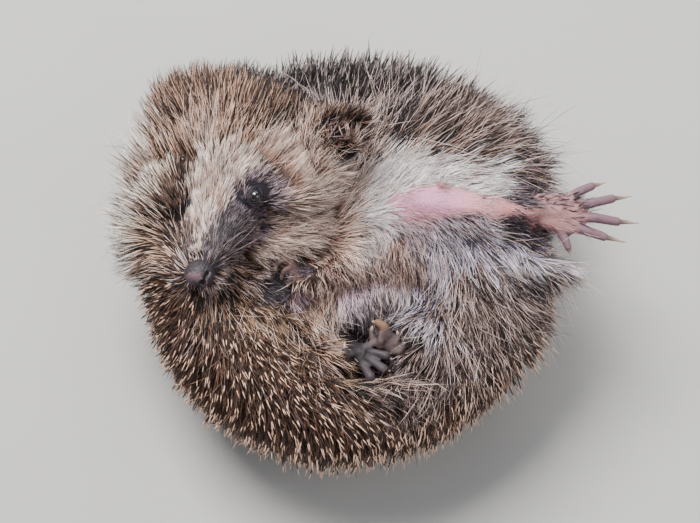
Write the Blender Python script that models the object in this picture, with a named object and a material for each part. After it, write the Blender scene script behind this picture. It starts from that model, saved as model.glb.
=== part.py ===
"""A European hedgehog at life size, half curled on its back, out to the tips of its coat.

The spiny back makes a shallow bowl that rests on a small flat. The belly lies uppermost, the head
is folded over the left rim of the bowl, one hind leg is stretched out over the right rim and the
paws of the other side meet in the hollow behind the front rim. Lengths are in metres, +Z is up,
and the origin is the middle of the model's outline on the floor.
"""

import math

import bmesh
import bpy
from mathutils import Matrix, Vector

MM = 0.001
GAP = 0.35 * MM  # clearance between pieces that touch

# The bowl of the back: a flattened base and a thick rolled rim.
BOWL_CENTRE = (-5.0, 1.0)
BASE_RADII = (70.0, 69.0, 25.0)
BASE_HEIGHT = 23.0  # a little less than its half thickness, so that the floor cuts a flat
RIM_SPREAD = (56.0, 54.0)  # half widths of the rim's centre line
SIDE_INSET = 9.0  # how far the side below the rim lies inwards of it
SIDE_HEIGHT = 28.0
SIDE_RADII = (27.0, 27.0, 27.0)
RIM_RADIUS = (24.5, 27.0)  # at the front and at the back
RIM_TALL = (28.0, 29.0)
RIM_HEIGHT = (40.0, 47.0)
RIM_STEPS = 36
RUMP_TRIM = 0.10  # how much the rim draws in on the side of the right hip
RUMP_SIDE = math.radians(-35.0)

# What swells out of the bowl, as (centre, radii): belly, chest, and left shoulder with its flank.
SWELLINGS = (
    ((20, 18, 50), (48, 34, 25.5)),
    ((-20, -4, 46), (34, 25, 20)),
    ((-26, 34, 50), (38, 34, 26)),
)
BELLY_PATCH = ((16, 10, 84), (50, 38, 30))  # the ball that parts the soft belly from the trunk
NECK_PLANE = ((-44, 0, 0), (1, 0.18, 0))
WAIST_PLANE = ((6, 0, 0), (1, 0, 0))

# Hollows where the paws lie: behind the front rim and under the chin.
HOLLOWS = (
    ((1.0, -35.0, 65.0), (21.0, 14.0, 19.0)),
    ((-30.0, -13.0, 70.0), (13.0, 10.0, 12.0)),
)

# The head: where the middle between the eyes is, and how the head is turned.
HEAD_PLACE = (-51.4, 16.8, 73.0)
HEAD_HEADING = math.radians(-106.0)
HEAD_ROLL = math.radians(28.0)
MUZZLE_LENGTH = 34.5
FACE_CUT = 6.0  # where the muzzle is parted from the head, ahead of the eyes
SKULL = (
    ((-21, 0, -3), (28, 26, 22)),  # skull and crown
    ((-20, 18, -10), (24, 20, 15)),  # left cheek
    ((-22, -14, -8), (22, 16, 15)),  # right cheek
    ((-5, 0, -2), (15, 13.5, 11)),  # brow
    ((-8, 6, -9), (14, 10, 8)),  # left jowl
    ((-8, -6, -9), (14, 10, 8)),  # right jowl
)
MUZZLE = ((-6, 0, -5, 13.5), (6, 0, -4.5, 10.8), (18, 0, -3, 7.6), (30.5, 0, -0.6, 4.9))
JAW = ((0, 0, -13.5, 6.0), (12, 0, -11, 4.8), (23, 0, -7.4, 3.2))
RUFF = (
    ((-78, 14, 53), (16.5, 29, 19)),
    ((-74, 34, 58), (16, 20, 16)),
    ((-62, 50, 64), (20, 18, 18)),
)
EYE_SIDE = 12.2
EYE_RISE = 1.6
EYE_RADIUS = 2.9
EAR_PLACE = (-24.0, 36.5, -7.0)
EAR_RADII = (11.5, 9.5, 5.0)
EAR_INNER_RADII = (9.8, 7.8, 4.6)

# The legs and the tail, as (x, y, z, radius) stations from the body outwards.
LEGS = {
    "hind_left": ((18, 16, 66, 13), (41, 12, 70, 9.5), (60, 12, 68, 6.3)),
    "hind_right": ((44, -15, 52, 17), (29, -25, 51, 11), (18, -33, 50, 6)),
    "fore_left": ((-6, -2, 60, 9.5), (-18, -10, 61, 6.5), (-27, -12, 62.5, 4.4)),
    "fore_right": ((-30, -22, 52, 10), (-21, -28, 51, 7.5), (-13.5, -31.5, 50.5, 4.6)),
}
TAIL = ((54, -4, 65, 6.0), (68, -9, 64.5, 3.8))

# The feet: heel, ball, the way the sole faces, the half fan of the toes in degrees, the radius of
# the palm, the length and radius of a toe, the length of a claw, and the colour.
FEET = {
    "hind_left": ((64, 12.5, 67), (78, 13, 64.5), (-0.1, -0.5, 0.86), 42, 4.6, 11.5, 1.45, 6.1, "leg"),
    "hind_right": ((17, -34, 50.5), (10, -35, 56), (-0.5, -0.5, 0.6), 20, 4.4, 5.5, 1.7, 4.0, "paw"),
    "fore_left": ((-29, -12, 62), (-31, -9, 65), (0.3, -0.6, 0.74), 24, 4.0, 4.8, 1.55, 3.2, "leg"),
    "fore_right": ((-13, -32, 51), (-8, -34.5, 55), (0.5, -0.4, 0.75), 24, 4.0, 4.8, 1.55, 3.2, "paw"),
}
TOES = 5
SHORTER_SIDES = 0.24  # how much shorter the outer toes are
CLAW_WIDTH = 0.48  # of the toe's
CLAW_HOOK = 0.22  # how far the tip bends down, as a share of the length
CLAW_TAPER = 0.62
CLAW_SIDES = 5
CLAW_RINGS = 2

COAT_COLOUR = {
    "spines": (0.16, 0.11, 0.075),
    "belly": (0.62, 0.56, 0.52),
    "face": (0.42, 0.32, 0.23),
    "mask": (0.07, 0.055, 0.05),
    "leg": (0.50, 0.31, 0.28),
    "paw": (0.15, 0.11, 0.12),
    "nose": (0.06, 0.045, 0.06),
    "eye": (0.01, 0.01, 0.014),
    "ear": (0.22, 0.17, 0.17),
    "claw": (0.58, 0.50, 0.38),
}


def material(name, roughness=0.8):
    """The Principled material called `name`, made once."""
    made = bpy.data.materials.get(name)
    if made is None:
        made = bpy.data.materials.new(name)
        made.use_nodes = True
        shader = made.node_tree.nodes["Principled BSDF"]
        shader.inputs["Base Color"].default_value = (*COAT_COLOUR[name], 1.0)
        shader.inputs["Roughness"].default_value = roughness
        shader.inputs["Metallic"].default_value = 0.0
    return made


def head_matrix():
    """The head's frame: X towards the nose, Y to its left, Z out of its crown."""
    turn = Matrix.Rotation(HEAD_HEADING, 4, "Z") @ Matrix.Rotation(HEAD_ROLL, 4, "X")
    return Matrix.Translation(Vector(HEAD_PLACE)) @ turn


def ball(bm, centre, radii, frame=Matrix.Identity(4), detail=4):
    """Adds an ellipsoid, in millimetres of `frame`."""
    scale = Matrix.Diagonal((*radii, 1.0))
    place = Matrix.Scale(MM, 4) @ frame @ Matrix.Translation(Vector(centre)) @ scale
    bmesh.ops.create_icosphere(bm, subdivisions=detail, radius=1.0, matrix=place)


def limb(bm, stations, frame=Matrix.Identity(4), spacing=0.25):
    """Adds a round limb through (x, y, z, radius) stations, as a row of close balls."""
    for start, end in zip(stations, stations[1:]):
        length = (Vector(end[:3]) - Vector(start[:3])).length
        steps = max(2, math.ceil(length / (spacing * min(start[3], end[3]))))
        for step in range(steps + 1):
            along = step / steps
            x, y, z, radius = (a + (b - a) * along for a, b in zip(start, end))
            ball(bm, (x, y, z), (radius,) * 3, frame, detail=3)


def settled(mesh, *modifiers):
    """The mesh after a list of (type, settings) modifiers."""
    holder = bpy.data.objects.new("holder", mesh)
    bpy.context.scene.collection.objects.link(holder)
    for kind, settings in modifiers:
        modifier = holder.modifiers.new(kind, kind)
        for key, value in settings.items():
            setattr(modifier, key, value)
    graph = bpy.context.evaluated_depsgraph_get()
    result = bpy.data.meshes.new_from_object(holder.evaluated_get(graph))
    bpy.data.objects.remove(holder)
    return result


def fused(bm, voxel, triangles, smoothing=6):
    """One closed skin round everything in `bm`, with about `triangles` triangles."""
    mesh = bpy.data.meshes.new("fused")
    bm.to_mesh(mesh)
    bm.free()
    skin = settled(
        mesh,
        ("REMESH", {"mode": "VOXEL", "voxel_size": voxel * MM}),
        ("SMOOTH", {"factor": 0.5, "iterations": smoothing}),
        ("TRIANGULATE", {}),
    )
    ratio = min(1.0, triangles / len(skin.polygons))
    return settled(skin, ("DECIMATE", {"ratio": ratio}))


def mesh_of(bm):
    """A mesh with what `bm` holds."""
    mesh = bpy.data.meshes.new("mesh")
    bm.to_mesh(mesh)
    bm.free()
    return mesh


def face_outwards(bm):
    """Turns the faces of a closed body so that they point out."""
    bmesh.ops.recalc_face_normals(bm, faces=bm.faces)
    if bm.calc_volume(signed=True) < 0:
        bmesh.ops.reverse_faces(bm, faces=bm.faces)


def grown(mesh, clearance=GAP):
    """A copy of the mesh, swollen along its normals."""
    copy = mesh.copy()
    normals = [vertex.normal.copy() for vertex in mesh.vertices]
    for vertex, normal in zip(copy.vertices, normals):
        vertex.co += normal * clearance
    return copy


def largest_body(mesh):
    """The mesh without the small scraps that a cut may leave."""
    bm = bmesh.new()
    bm.from_mesh(mesh)
    bm.faces.index_update()
    bodies = []
    unseen = set(bm.faces)
    while unseen:
        body = set()
        front = [unseen.pop()]
        while front:
            face = front.pop()
            body.add(face)
            sound_edges = [edge for edge in face.edges if len(edge.link_faces) == 2]
            reached = {other for edge in sound_edges for other in edge.link_faces} & unseen
            unseen -= reached
            front += sorted(reached, key=lambda other: other.index)
        bodies.append(body)
    kept = max(bodies, key=len)
    scraps = [face for body in bodies if body is not kept for face in body]
    bmesh.ops.delete(bm, geom=scraps, context="FACES")
    bmesh.ops.triangulate(bm, faces=bm.faces)
    return mesh_of(bm)


def cut(mesh, tools, operation="DIFFERENCE"):
    """The mesh after a Boolean with each of the tool meshes."""
    for tool in tools:
        cutter = bpy.data.objects.new("cutter", tool)
        cutter.hide_render = True
        cutter.display_type = "WIRE"
        bpy.context.scene.collection.objects.link(cutter)
        settings = {"object": cutter, "operation": operation, "solver": "EXACT"}
        mesh = settled(mesh, ("BOOLEAN", settings))
        bpy.data.objects.remove(cutter)
    return largest_body(mesh)


def half_space(point, normal, reach=400.0):
    """A big box that fills the side of a plane its normal points to; millimetres."""
    normal = Vector(normal).normalized()
    turn = normal.to_track_quat("Z", "Y").to_matrix().to_4x4()
    middle = Vector(point) + normal * reach / 2
    place = Matrix.Scale(MM, 4) @ Matrix.Translation(middle) @ turn
    bm = bmesh.new()
    bmesh.ops.create_cube(bm, size=reach, matrix=place)
    return mesh_of(bm)


def parted(mesh, point, normal):
    """The two sides of the mesh at a plane, a small gap apart; the normal's side first."""
    normal = Vector(normal).normalized()
    shift = normal * (GAP / MM) / 2
    ahead = cut(mesh, [half_space(Vector(point) + shift, normal)], "INTERSECT")
    behind = cut(mesh, [half_space(Vector(point) - shift, -normal)], "INTERSECT")
    return ahead, behind


def node(name, mesh, colour, roughness=0.8):
    """Makes the named sub-part of a mesh."""
    mesh.name = name
    mesh.materials.clear()
    mesh.materials.append(material(colour, roughness))
    mesh.shade_smooth()
    made = bpy.data.objects.new(name, mesh)
    bpy.context.scene.collection.objects.link(made)
    return made


def bowl_mesh():
    """Trunk, neck and belly in one, before limbs and head are let into them."""

    def rim_point(angle, inset):
        trim = 1 - RUMP_TRIM * max(0.0, math.cos(angle - RUMP_SIDE)) ** 2
        x = BOWL_CENTRE[0] + (RIM_SPREAD[0] * trim - inset) * math.cos(angle)
        y = BOWL_CENTRE[1] + (RIM_SPREAD[1] * trim - inset) * math.sin(angle)
        return x, y

    bm = bmesh.new()
    ball(bm, (*BOWL_CENTRE, BASE_HEIGHT), BASE_RADII, detail=5)
    for step in range(RIM_STEPS):
        angle = 2 * math.pi * step / RIM_STEPS
        back = (1 + math.sin(angle)) / 2
        radius, tall, height = (a + (b - a) * back for a, b in (RIM_RADIUS, RIM_TALL, RIM_HEIGHT))
        ball(bm, (*rim_point(angle, 0), height), (radius, radius, tall))
        ball(bm, (*rim_point(angle, SIDE_INSET), SIDE_HEIGHT), SIDE_RADII)
    for centre, radii in SWELLINGS:
        ball(bm, centre, radii)
    whole = fused(bm, voxel=3.0, triangles=490, smoothing=12)
    tools = [half_space((0, 0, 0), (0, 0, -1))]
    for centre, radii in HOLLOWS:
        bm = bmesh.new()
        ball(bm, centre, radii, detail=3)
        tools.append(mesh_of(bm))
    return cut(whole, tools)


def head_mesh(frame):
    """Head, cheeks and muzzle in one."""
    bm = bmesh.new()
    for centre, radii in SKULL:
        ball(bm, centre, radii, frame)
    limb(bm, MUZZLE, frame)
    return fused(bm, voxel=1.8, triangles=400, smoothing=6)


def ruff_mesh():
    """The long hair that stands out behind the right cheek and the crown."""
    bm = bmesh.new()
    for centre, radii in RUFF:
        ball(bm, centre, radii)
    return fused(bm, voxel=2.4, triangles=150, smoothing=8)


def jaw_mesh(frame):
    """The lower jaw, set back behind the nose."""
    bm = bmesh.new()
    limb(bm, JAW, frame)
    return fused(bm, voxel=1.0, triangles=100)


def nose_mesh(frame):
    """The nose pad, a little wider than tall, with its two bulges."""
    bm = bmesh.new()
    tip = MUZZLE_LENGTH - 3.2
    ball(bm, (tip, 0, 0.4), (4.2, 4.4, 4.6), frame)
    for side in (1, -1):
        ball(bm, (tip - 0.6, 2.6 * side, -0.2), (3.2, 2.8, 3.4), frame)
    return fused(bm, voxel=0.6, triangles=130)


def eye_mesh(frame, side):
    """One eyeball, most of it inside the head."""
    bm = bmesh.new()
    ball(bm, (0.5, EYE_SIDE * side, EYE_RISE), (EYE_RADIUS,) * 3, frame, detail=2)
    return mesh_of(bm)


def ear_meshes(frame, side):
    """One ear, a rounded cup that opens forwards and outwards, and the shape it was cut from."""
    axis = Vector((-0.42, 0.86 * side, -0.18)).normalized()
    facing = Vector((0.80, 0.42 * side, 0.40))
    facing = (facing - axis * facing.dot(axis)).normalized()
    axes = Matrix((axis, facing.cross(axis), facing)).transposed().to_4x4()
    axes.translation = (EAR_PLACE[0], EAR_PLACE[1] * side, EAR_PLACE[2])
    shapes = []
    for place, radii in (((0, 0, 0), EAR_RADII), ((0, 0, EAR_RADII[2] * 0.75), EAR_INNER_RADII)):
        bm = bmesh.new()
        ball(bm, place, radii, frame @ axes, detail=2)
        shapes.append(mesh_of(bm))
    outer, inner = shapes
    return cut(outer, [inner]), outer


def claw_mesh(root, direction, bend, length, base_radius):
    """A curved, tapering claw from `root` along `direction`, hooked towards `bend`."""
    direction = Vector(direction).normalized()
    bend = Vector(bend)
    bend = (bend - direction * bend.dot(direction)).normalized()
    side = direction.cross(bend)
    bm = bmesh.new()
    rings = []
    for ring in range(CLAW_RINGS):
        along = ring / CLAW_RINGS
        centre = Vector(root) + direction * length * along + bend * length * CLAW_HOOK * along**2
        radius = base_radius * (1 - CLAW_TAPER * along)
        circle = []
        for corner in range(CLAW_SIDES):
            angle = 2 * math.pi * corner / CLAW_SIDES
            rim = bend * math.cos(angle) + side * math.sin(angle)
            circle.append(bm.verts.new((centre + rim * radius) * MM))
        rings.append(circle)
    tip = bm.verts.new((Vector(root) + direction * length + bend * length * CLAW_HOOK) * MM)
    bm.faces.new(rings[0])
    for low, high in zip(rings, rings[1:]):
        for corner in range(CLAW_SIDES):
            after = (corner + 1) % CLAW_SIDES
            bm.faces.new((low[corner], low[after], high[after], high[corner]))
    for corner in range(CLAW_SIDES):
        bm.faces.new((rings[-1][corner], rings[-1][(corner + 1) % CLAW_SIDES], tip))
    face_outwards(bm)
    bmesh.ops.triangulate(bm, faces=bm.faces)
    return mesh_of(bm)


def foot(name, heel, ball_place, sole, spread, palm, toe_length, toe_radius, claw_length, colour):
    """A foot with its toes and claws; gives what other parts must make room for."""
    heel = Vector(heel)
    ball_place = Vector(ball_place)
    forward = (ball_place - heel).normalized()
    sole = Vector(sole)
    sole = (sole - forward * sole.dot(forward)).normalized()
    across = forward.cross(sole)
    axes = Matrix((forward, across, sole)).transposed().to_4x4()
    axes.translation = ball_place
    bm = bmesh.new()
    heel_radius = 0.8 * palm
    limb(bm, ((*heel, heel_radius), (*ball_place, heel_radius)))
    ball(bm, (-1.0, 0, 0), (1.25 * palm, 1.1 * palm, 0.62 * palm), axes)
    claws = {}
    for index in range(TOES):
        place = index / (TOES - 1) * 2 - 1
        turn = math.radians(spread) * place
        reach = toe_length * (1 - SHORTER_SIDES * place * place)
        way = forward * math.cos(turn) + across * math.sin(turn)
        root = ball_place + across * palm * 0.8 * place + forward * 0.35 * palm
        tip = root + way * reach + sole * 0.08 * reach
        limb(bm, ((*root, toe_radius * 1.05), (*tip, toe_radius * 0.8)), spacing=0.4)
        start = tip + way * toe_radius * 0.15 - sole * toe_radius * 0.25
        width = toe_radius * CLAW_WIDTH
        claws[f"claw_{name}_{index + 1}"] = claw_mesh(start, way, sole, claw_length, width)
    skin = fused(bm, voxel=0.75, triangles=170, smoothing=2)
    room = [grown(skin)] + [grown(claw) for claw in claws.values()]
    node(name, cut(skin, room[1:]), colour)
    for claw_name, claw in claws.items():
        node(claw_name, claw, "claw", 0.35)
    return room


def leg_mesh(stations, triangles):
    """A leg or a tail through its stations."""
    bm = bmesh.new()
    limb(bm, stations)
    return fused(bm, voxel=1.6, triangles=triangles)


def build_head():
    """Head, muzzle, jaw, nose, eyes and ears; gives what the body must make room for."""
    frame = head_matrix()
    turn = frame.to_3x3()
    nose = nose_mesh(frame)
    jaw = jaw_mesh(frame)
    eyes = {side: eye_mesh(frame, side) for side in (1, -1)}
    ears = {side: ear_meshes(frame, side) for side in (1, -1)}
    whole = head_mesh(frame)
    room = [grown(nose), grown(jaw)]
    room += [grown(eye) for eye in eyes.values()]
    pits = [grown(outer) for ear, outer in ears.values()]
    carved = cut(whole, room + pits)
    muzzle, head = parted(carved, frame @ Vector((FACE_CUT, 0, 0)), turn @ Vector((1, 0, 0)))
    node("head", head, "face")
    node("muzzle", muzzle, "mask")
    node("nose", nose, "nose", 0.4)
    node("lower_jaw", cut(jaw, [grown(nose)]), "face")
    ruff = ruff_mesh()
    node("ruff", cut(ruff, [grown(whole)] + room + pits), "face")
    for side, word in ((1, "left"), (-1, "right")):
        node(f"eye_{word}", eyes[side], "eye", 0.08)
        node(f"ear_{word}", ears[side][0], "ear", 0.7)
    return [grown(whole), grown(ruff)] + room + pits


def build_legs(room):
    """The four legs with their feet, and the tail; gives what the body must make room for."""
    taken = list(room)
    for name, shape in FEET.items():
        taken += foot(f"{name}_foot", *shape)
    for name, stations in LEGS.items():
        whole = leg_mesh(stations, 90)
        carved = cut(whole, taken)
        knee = Vector(stations[1][:3])
        below, above = parted(carved, knee, Vector(stations[2][:3]) - Vector(stations[0][:3]))
        node(f"{name}_thigh" if "hind" in name else f"{name}_upper_arm", above, "belly")
        node(f"{name}_shank" if "hind" in name else f"{name}_forearm", below, "leg")
        taken.append(grown(whole))
    tail = leg_mesh(TAIL, 60)
    node("tail", cut(tail, taken), "belly")
    return taken + [grown(tail)]


def build_body(room):
    """Neck, trunk and belly, parted from one bowl."""
    whole = cut(bowl_mesh(), room)
    centre, radii = BELLY_PATCH
    bm = bmesh.new()
    ball(bm, centre, radii, detail=3)
    inside = mesh_of(bm)
    belly = cut(whole, [inside], "INTERSECT")
    bowl = cut(whole, [grown(inside)])
    trunk, neck = parted(bowl, *NECK_PLANE)
    rump, chest = parted(trunk, *WAIST_PLANE)
    node("belly", belly, "belly")
    node("neck", neck, "spines")
    node("trunk_front", chest, "spines")
    node("trunk_rear", rump, "spines")


def stand_on_origin():
    """Hangs every sub-part on an empty that puts the outline's middle on the origin."""
    parts = list(bpy.context.scene.collection.objects)
    points = [part.matrix_world @ vertex.co for part in parts for vertex in part.data.vertices]
    low = Vector(min(point[axis] for point in points) for axis in range(3))
    high = Vector(max(point[axis] for point in points) for axis in range(3))
    middle = (low + high) / 2
    animal = bpy.data.objects.new("hedgehog", None)
    animal.location = (-middle.x, -middle.y, -low.z)
    bpy.context.scene.collection.objects.link(animal)
    for part in parts:
        part.parent = animal


for old in list(bpy.data.objects):
    bpy.data.objects.remove(old)
build_body(build_legs(build_head()))
stand_on_origin()
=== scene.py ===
import math

import bmesh
import bpy
import numpy as np
from mathutils import Matrix, Vector
from mathutils.bvhtree import BVHTree
from mathutils.geometry import barycentric_transform
from mathutils.kdtree import KDTree


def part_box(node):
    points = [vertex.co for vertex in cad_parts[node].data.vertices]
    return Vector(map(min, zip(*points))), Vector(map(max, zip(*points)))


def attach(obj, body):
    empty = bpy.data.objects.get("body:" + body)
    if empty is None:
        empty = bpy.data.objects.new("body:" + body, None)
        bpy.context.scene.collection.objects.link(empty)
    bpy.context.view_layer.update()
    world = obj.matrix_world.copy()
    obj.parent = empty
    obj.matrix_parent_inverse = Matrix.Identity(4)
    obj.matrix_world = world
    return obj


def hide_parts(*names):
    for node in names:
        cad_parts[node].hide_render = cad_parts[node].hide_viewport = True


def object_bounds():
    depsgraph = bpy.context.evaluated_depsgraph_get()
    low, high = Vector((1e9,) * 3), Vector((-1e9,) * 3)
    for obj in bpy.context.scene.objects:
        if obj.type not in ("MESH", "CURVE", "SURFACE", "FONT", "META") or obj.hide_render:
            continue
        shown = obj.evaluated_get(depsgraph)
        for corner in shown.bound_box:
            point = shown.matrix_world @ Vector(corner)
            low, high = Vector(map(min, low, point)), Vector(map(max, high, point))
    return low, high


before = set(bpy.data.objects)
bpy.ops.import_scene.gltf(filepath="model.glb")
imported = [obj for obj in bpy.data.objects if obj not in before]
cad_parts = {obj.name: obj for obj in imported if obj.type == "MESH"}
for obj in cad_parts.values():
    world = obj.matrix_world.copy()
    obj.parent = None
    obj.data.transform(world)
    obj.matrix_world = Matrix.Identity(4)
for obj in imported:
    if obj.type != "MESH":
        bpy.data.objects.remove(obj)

cad_box = [list(corner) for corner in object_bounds()]
scene = bpy.context.scene


# The camera looks down on the belly from the animal's right side, 68 degrees above the floor.
# It stands 0.9 m away, behind a long lens that takes in 252 mm of width.
MM = 0.001
CAMERA_HEIGHT = math.radians(68)
CAMERA_DISTANCE = 0.9
FRAME_WIDTH = 0.252
AIM_SHIFT = (-7.9, -0.3, -1.6)  # from the middle of the body, in millimetres
low, high = (Vector(corner) for corner in cad_box)
middle = (low + high) / 2
aim = middle + Vector(AIM_SHIFT) * MM
back = Vector((0, -math.cos(CAMERA_HEIGHT), math.sin(CAMERA_HEIGHT)))
camera_data = bpy.data.cameras.new("camera")
camera_data.lens = camera_data.sensor_width * CAMERA_DISTANCE / FRAME_WIDTH
camera = bpy.data.objects.new("camera", camera_data)
camera.location = aim + back * CAMERA_DISTANCE
camera.rotation_mode = "QUATERNION"
camera.rotation_quaternion = back.to_track_quat("Z", "Y")
scene.collection.objects.link(camera)
scene.camera = camera


# The floor: one wide pale sheet, faintly mottled, under soft light from a big window on the left,
# a weaker one on the right, a third behind and a pale sky.
FLOOR_HALF = 6.0
SKY_COLOUR, SKY_STRENGTH = (0.86, 0.90, 1.0, 1.0), 0.34


class Flow:
    """A value on its way through a material. Arithmetic on it adds Math nodes."""

    def __init__(self, tree, socket=None):
        self.tree = tree
        self.socket = socket

    def node(self, kind, settings=None, inputs=None, output=0):
        made = self.tree.nodes.new(kind)
        for key, value in (settings or {}).items():
            setattr(made, key, value)
        for key, value in (inputs or {}).items():
            if isinstance(value, Flow):
                self.tree.links.new(value.socket, made.inputs[key])
            elif isinstance(value, tuple):
                made.inputs[key].default_value = (*value, 1.0)
            else:
                made.inputs[key].default_value = value
        return Flow(self.tree, made.outputs[output])

    def math(self, operation, *values):
        return self.node("ShaderNodeMath", {"operation": operation}, dict(enumerate(values)))

    def __add__(self, other):
        return self.math("ADD", self, other)

    def __sub__(self, other):
        return self.math("SUBTRACT", self, other)

    def __mul__(self, other):
        return self.math("MULTIPLY", self, other)

    def __rsub__(self, other):
        return self.math("SUBTRACT", other, self)

    __radd__ = __add__
    __rmul__ = __mul__

    def between(self, start, end):
        """0 below `start`, 1 above `end`, and smooth in between."""
        inputs = {"Value": self, "From Min": start, "From Max": end}
        return self.node("ShaderNodeMapRange", {"interpolation_type": "SMOOTHSTEP"}, inputs)

    def mixed(self, factor, other):
        """This colour, turning into the other one by the factor."""
        inputs = {0: factor, 6: self, 7: other}
        return self.node("ShaderNodeMix", {"data_type": "RGBA"}, inputs, 2)

    def darkened(self, amount):
        """This colour times a grey of that brightness."""
        grey = self.node("ShaderNodeCombineColor", None, {0: amount, 1: amount, 2: amount})
        settings = {"data_type": "RGBA", "blend_type": "MULTIPLY"}
        return self.node("ShaderNodeMix", settings, {0: 1.0, 6: self, 7: grey}, 2)

    def attribute(self, name, output=2):
        return self.node("ShaderNodeAttribute", {"attribute_name": name}, None, output)

    def place(self):
        return self.node("ShaderNodeTexCoord", None, None, 3)

    def noise(self, scale, detail=3.0):
        inputs = {"Vector": self.place(), "Scale": scale, "Detail": detail}
        return self.node("ShaderNodeTexNoise", None, inputs)

    def bump(self, height, distance, strength=1.0):
        inputs = {"Height": height, "Distance": distance, "Strength": strength}
        return self.node("ShaderNodeBump", None, inputs)


def new_material(name, **constants):
    """A Principled material: its flow, its shader node and itself."""
    made = bpy.data.materials.new(name)
    made.use_nodes = True
    shader = made.node_tree.nodes["Principled BSDF"]
    for key, value in constants.items():
        shader.inputs[key.replace("_", " ")].default_value = value
    return Flow(made.node_tree), shader, made


def connect(flow, shader, **values):
    """Links flows to the shader's sockets."""
    for key, value in values.items():
        flow.tree.links.new(value.socket, shader.inputs[key.replace("_", " ")])


def new_object(name, mesh, material, smooth=True):
    """An object at the origin that holds the mesh."""
    made = bpy.data.objects.new(name, mesh)
    mesh.materials.append(material)
    mesh.polygons.foreach_set("use_smooth", np.full(len(mesh.polygons), smooth))
    scene.collection.objects.link(made)
    return made


def finished(bm, name="mesh"):
    """The bmesh as a mesh."""
    mesh = bpy.data.meshes.new(name)
    bm.to_mesh(mesh)
    bm.free()
    return mesh


def floor_material():
    flow, shader, made = new_material("pale_floor", Roughness=0.75)
    inputs = {0: flow.noise(9.0, 4.0), 6: (0.44, 0.43, 0.41), 7: (0.49, 0.48, 0.46)}
    pale = flow.node("ShaderNodeMix", {"data_type": "RGBA"}, inputs, 2)
    connect(flow, shader, Base_Color=pale, Normal=flow.bump(flow.noise(700.0), 0.0002, 0.3))
    return made


bm = bmesh.new()
bmesh.ops.create_grid(bm, x_segments=8, y_segments=8, size=FLOOR_HALF)
floor = new_object("floor", finished(bm), floor_material(), smooth=False)

for name, place, size, power in (
    ("window", (-0.4, 0.5, 1.2), 0.7, 40.0),
    ("fill", (0.9, -0.6, 0.9), 1.2, 9.0),
    ("rear", (0.3, 1.1, 0.7), 0.8, 6.0),
):
    lamp = bpy.data.lights.new(name, "AREA")
    lamp.size = size
    lamp.energy = power
    lamp_object = bpy.data.objects.new(name, lamp)
    lamp_object.location = place
    lamp_object.rotation_mode = "QUATERNION"
    lamp_object.rotation_quaternion = (Vector(place) - middle).to_track_quat("Z", "Y")
    scene.collection.objects.link(lamp_object)
world = bpy.data.worlds.new("sky")
world.use_nodes = True
sky = world.node_tree.nodes["Background"]
sky.inputs["Color"].default_value = SKY_COLOUR
sky.inputs["Strength"].default_value = SKY_STRENGTH
scene.world = world


# The skin: one unbroken hide over head, body and legs. It follows the solids but lies inside them
# by the depth of the coat that grows on it, deep under the spines and thin on face and feet.
COAT_DEPTH = {
    "head": 4.5,
    "muzzle": 1.2,
    "jaw": 1.2,
    "ruff": 8.0,
    "ears": 6.5,
    "spines": 8.5,
    "belly": 4.5,
    "thigh": 1.6,
    "shank": 0.9,
    "legs_right": 3.5,
    "foot": 0.2,
}
GROUPS = {
    "head": ("head",),
    "muzzle": ("muzzle",),
    "jaw": ("lower_jaw",),
    "ruff": ("ruff",),
    "ears": ("ear_left", "ear_right"),
    "spines": ("neck", "trunk_front", "trunk_rear"),
    "belly": ("belly", "fore_left_upper_arm"),
    "thigh": ("hind_left_thigh", "tail", "fore_left_forearm", "fore_right_forearm"),
    "shank": ("hind_left_shank", "hind_right_shank"),
    "legs_right": ("hind_right_thigh", "fore_right_upper_arm"),
    "foot": ("hind_left_foot", "hind_right_foot", "fore_left_foot", "fore_right_foot"),
}
OVERLAP = 0.6  # the solids are swollen by this much, which closes the gaps between them
GROUP_REACH = 2.2  # how far one group's depth shades into the next
COARSE_GRID, FINE_GRID = 1.6, 0.62  # spacing of the grids that join the flesh, in millimetres
KEPT_SHARE = 0.46  # of the fine grid's triangles
HOLLOW = (2, -35, 62)  # middle of the belly's hollow, where the right paws lie


def settled(mesh, *modifiers):
    """The mesh after a list of (type, settings) modifiers."""
    holder = bpy.data.objects.new("holder", mesh)
    scene.collection.objects.link(holder)
    for kind, settings in modifiers:
        modifier = holder.modifiers.new(kind, kind)
        for key, value in settings.items():
            setattr(modifier, key, value)
    graph = bpy.context.evaluated_depsgraph_get()
    result = bpy.data.meshes.new_from_object(holder.evaluated_get(graph))
    bpy.data.objects.remove(holder)
    return result


def solid_copy(names, swell=0.0):
    """A bmesh with merged copies of CAD nodes, swollen by so many millimetres."""
    whole = bmesh.new()
    for name in names:
        part = bmesh.new()
        part.from_mesh(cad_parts[name].data)
        bmesh.ops.remove_doubles(part, verts=part.verts, dist=1e-6)
        part.normal_update()
        for vertex in part.verts:
            vertex.co += vertex.normal * swell * MM
        mesh = finished(part)
        whole.from_mesh(mesh)
        bpy.data.meshes.remove(mesh)
    return whole


def arrays(mesh):
    """Places, in millimetres, and normals of a mesh's vertices."""
    places = np.empty(len(mesh.vertices) * 3, np.float32)
    normals = np.empty(len(mesh.vertices) * 3, np.float32)
    mesh.vertices.foreach_get("co", places)
    mesh.vertices.foreach_get("normal", normals)
    return places.reshape(-1, 3).astype(float) / MM, normals.reshape(-1, 3).astype(float)


def unit(vectors):
    return vectors / np.maximum(np.linalg.norm(vectors, axis=-1, keepdims=True), 1e-9)


def smoothstep(values, start, end):
    part = np.clip((values - start) / (end - start), 0, 1)
    return part * part * (3 - 2 * part)


def near(places, centre, inner, outer):
    """1 within `inner` millimetres of the centre, 0 beyond `outer`."""
    return 1 - smoothstep(np.linalg.norm(places - np.array(centre), axis=-1), inner, outer)


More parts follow.
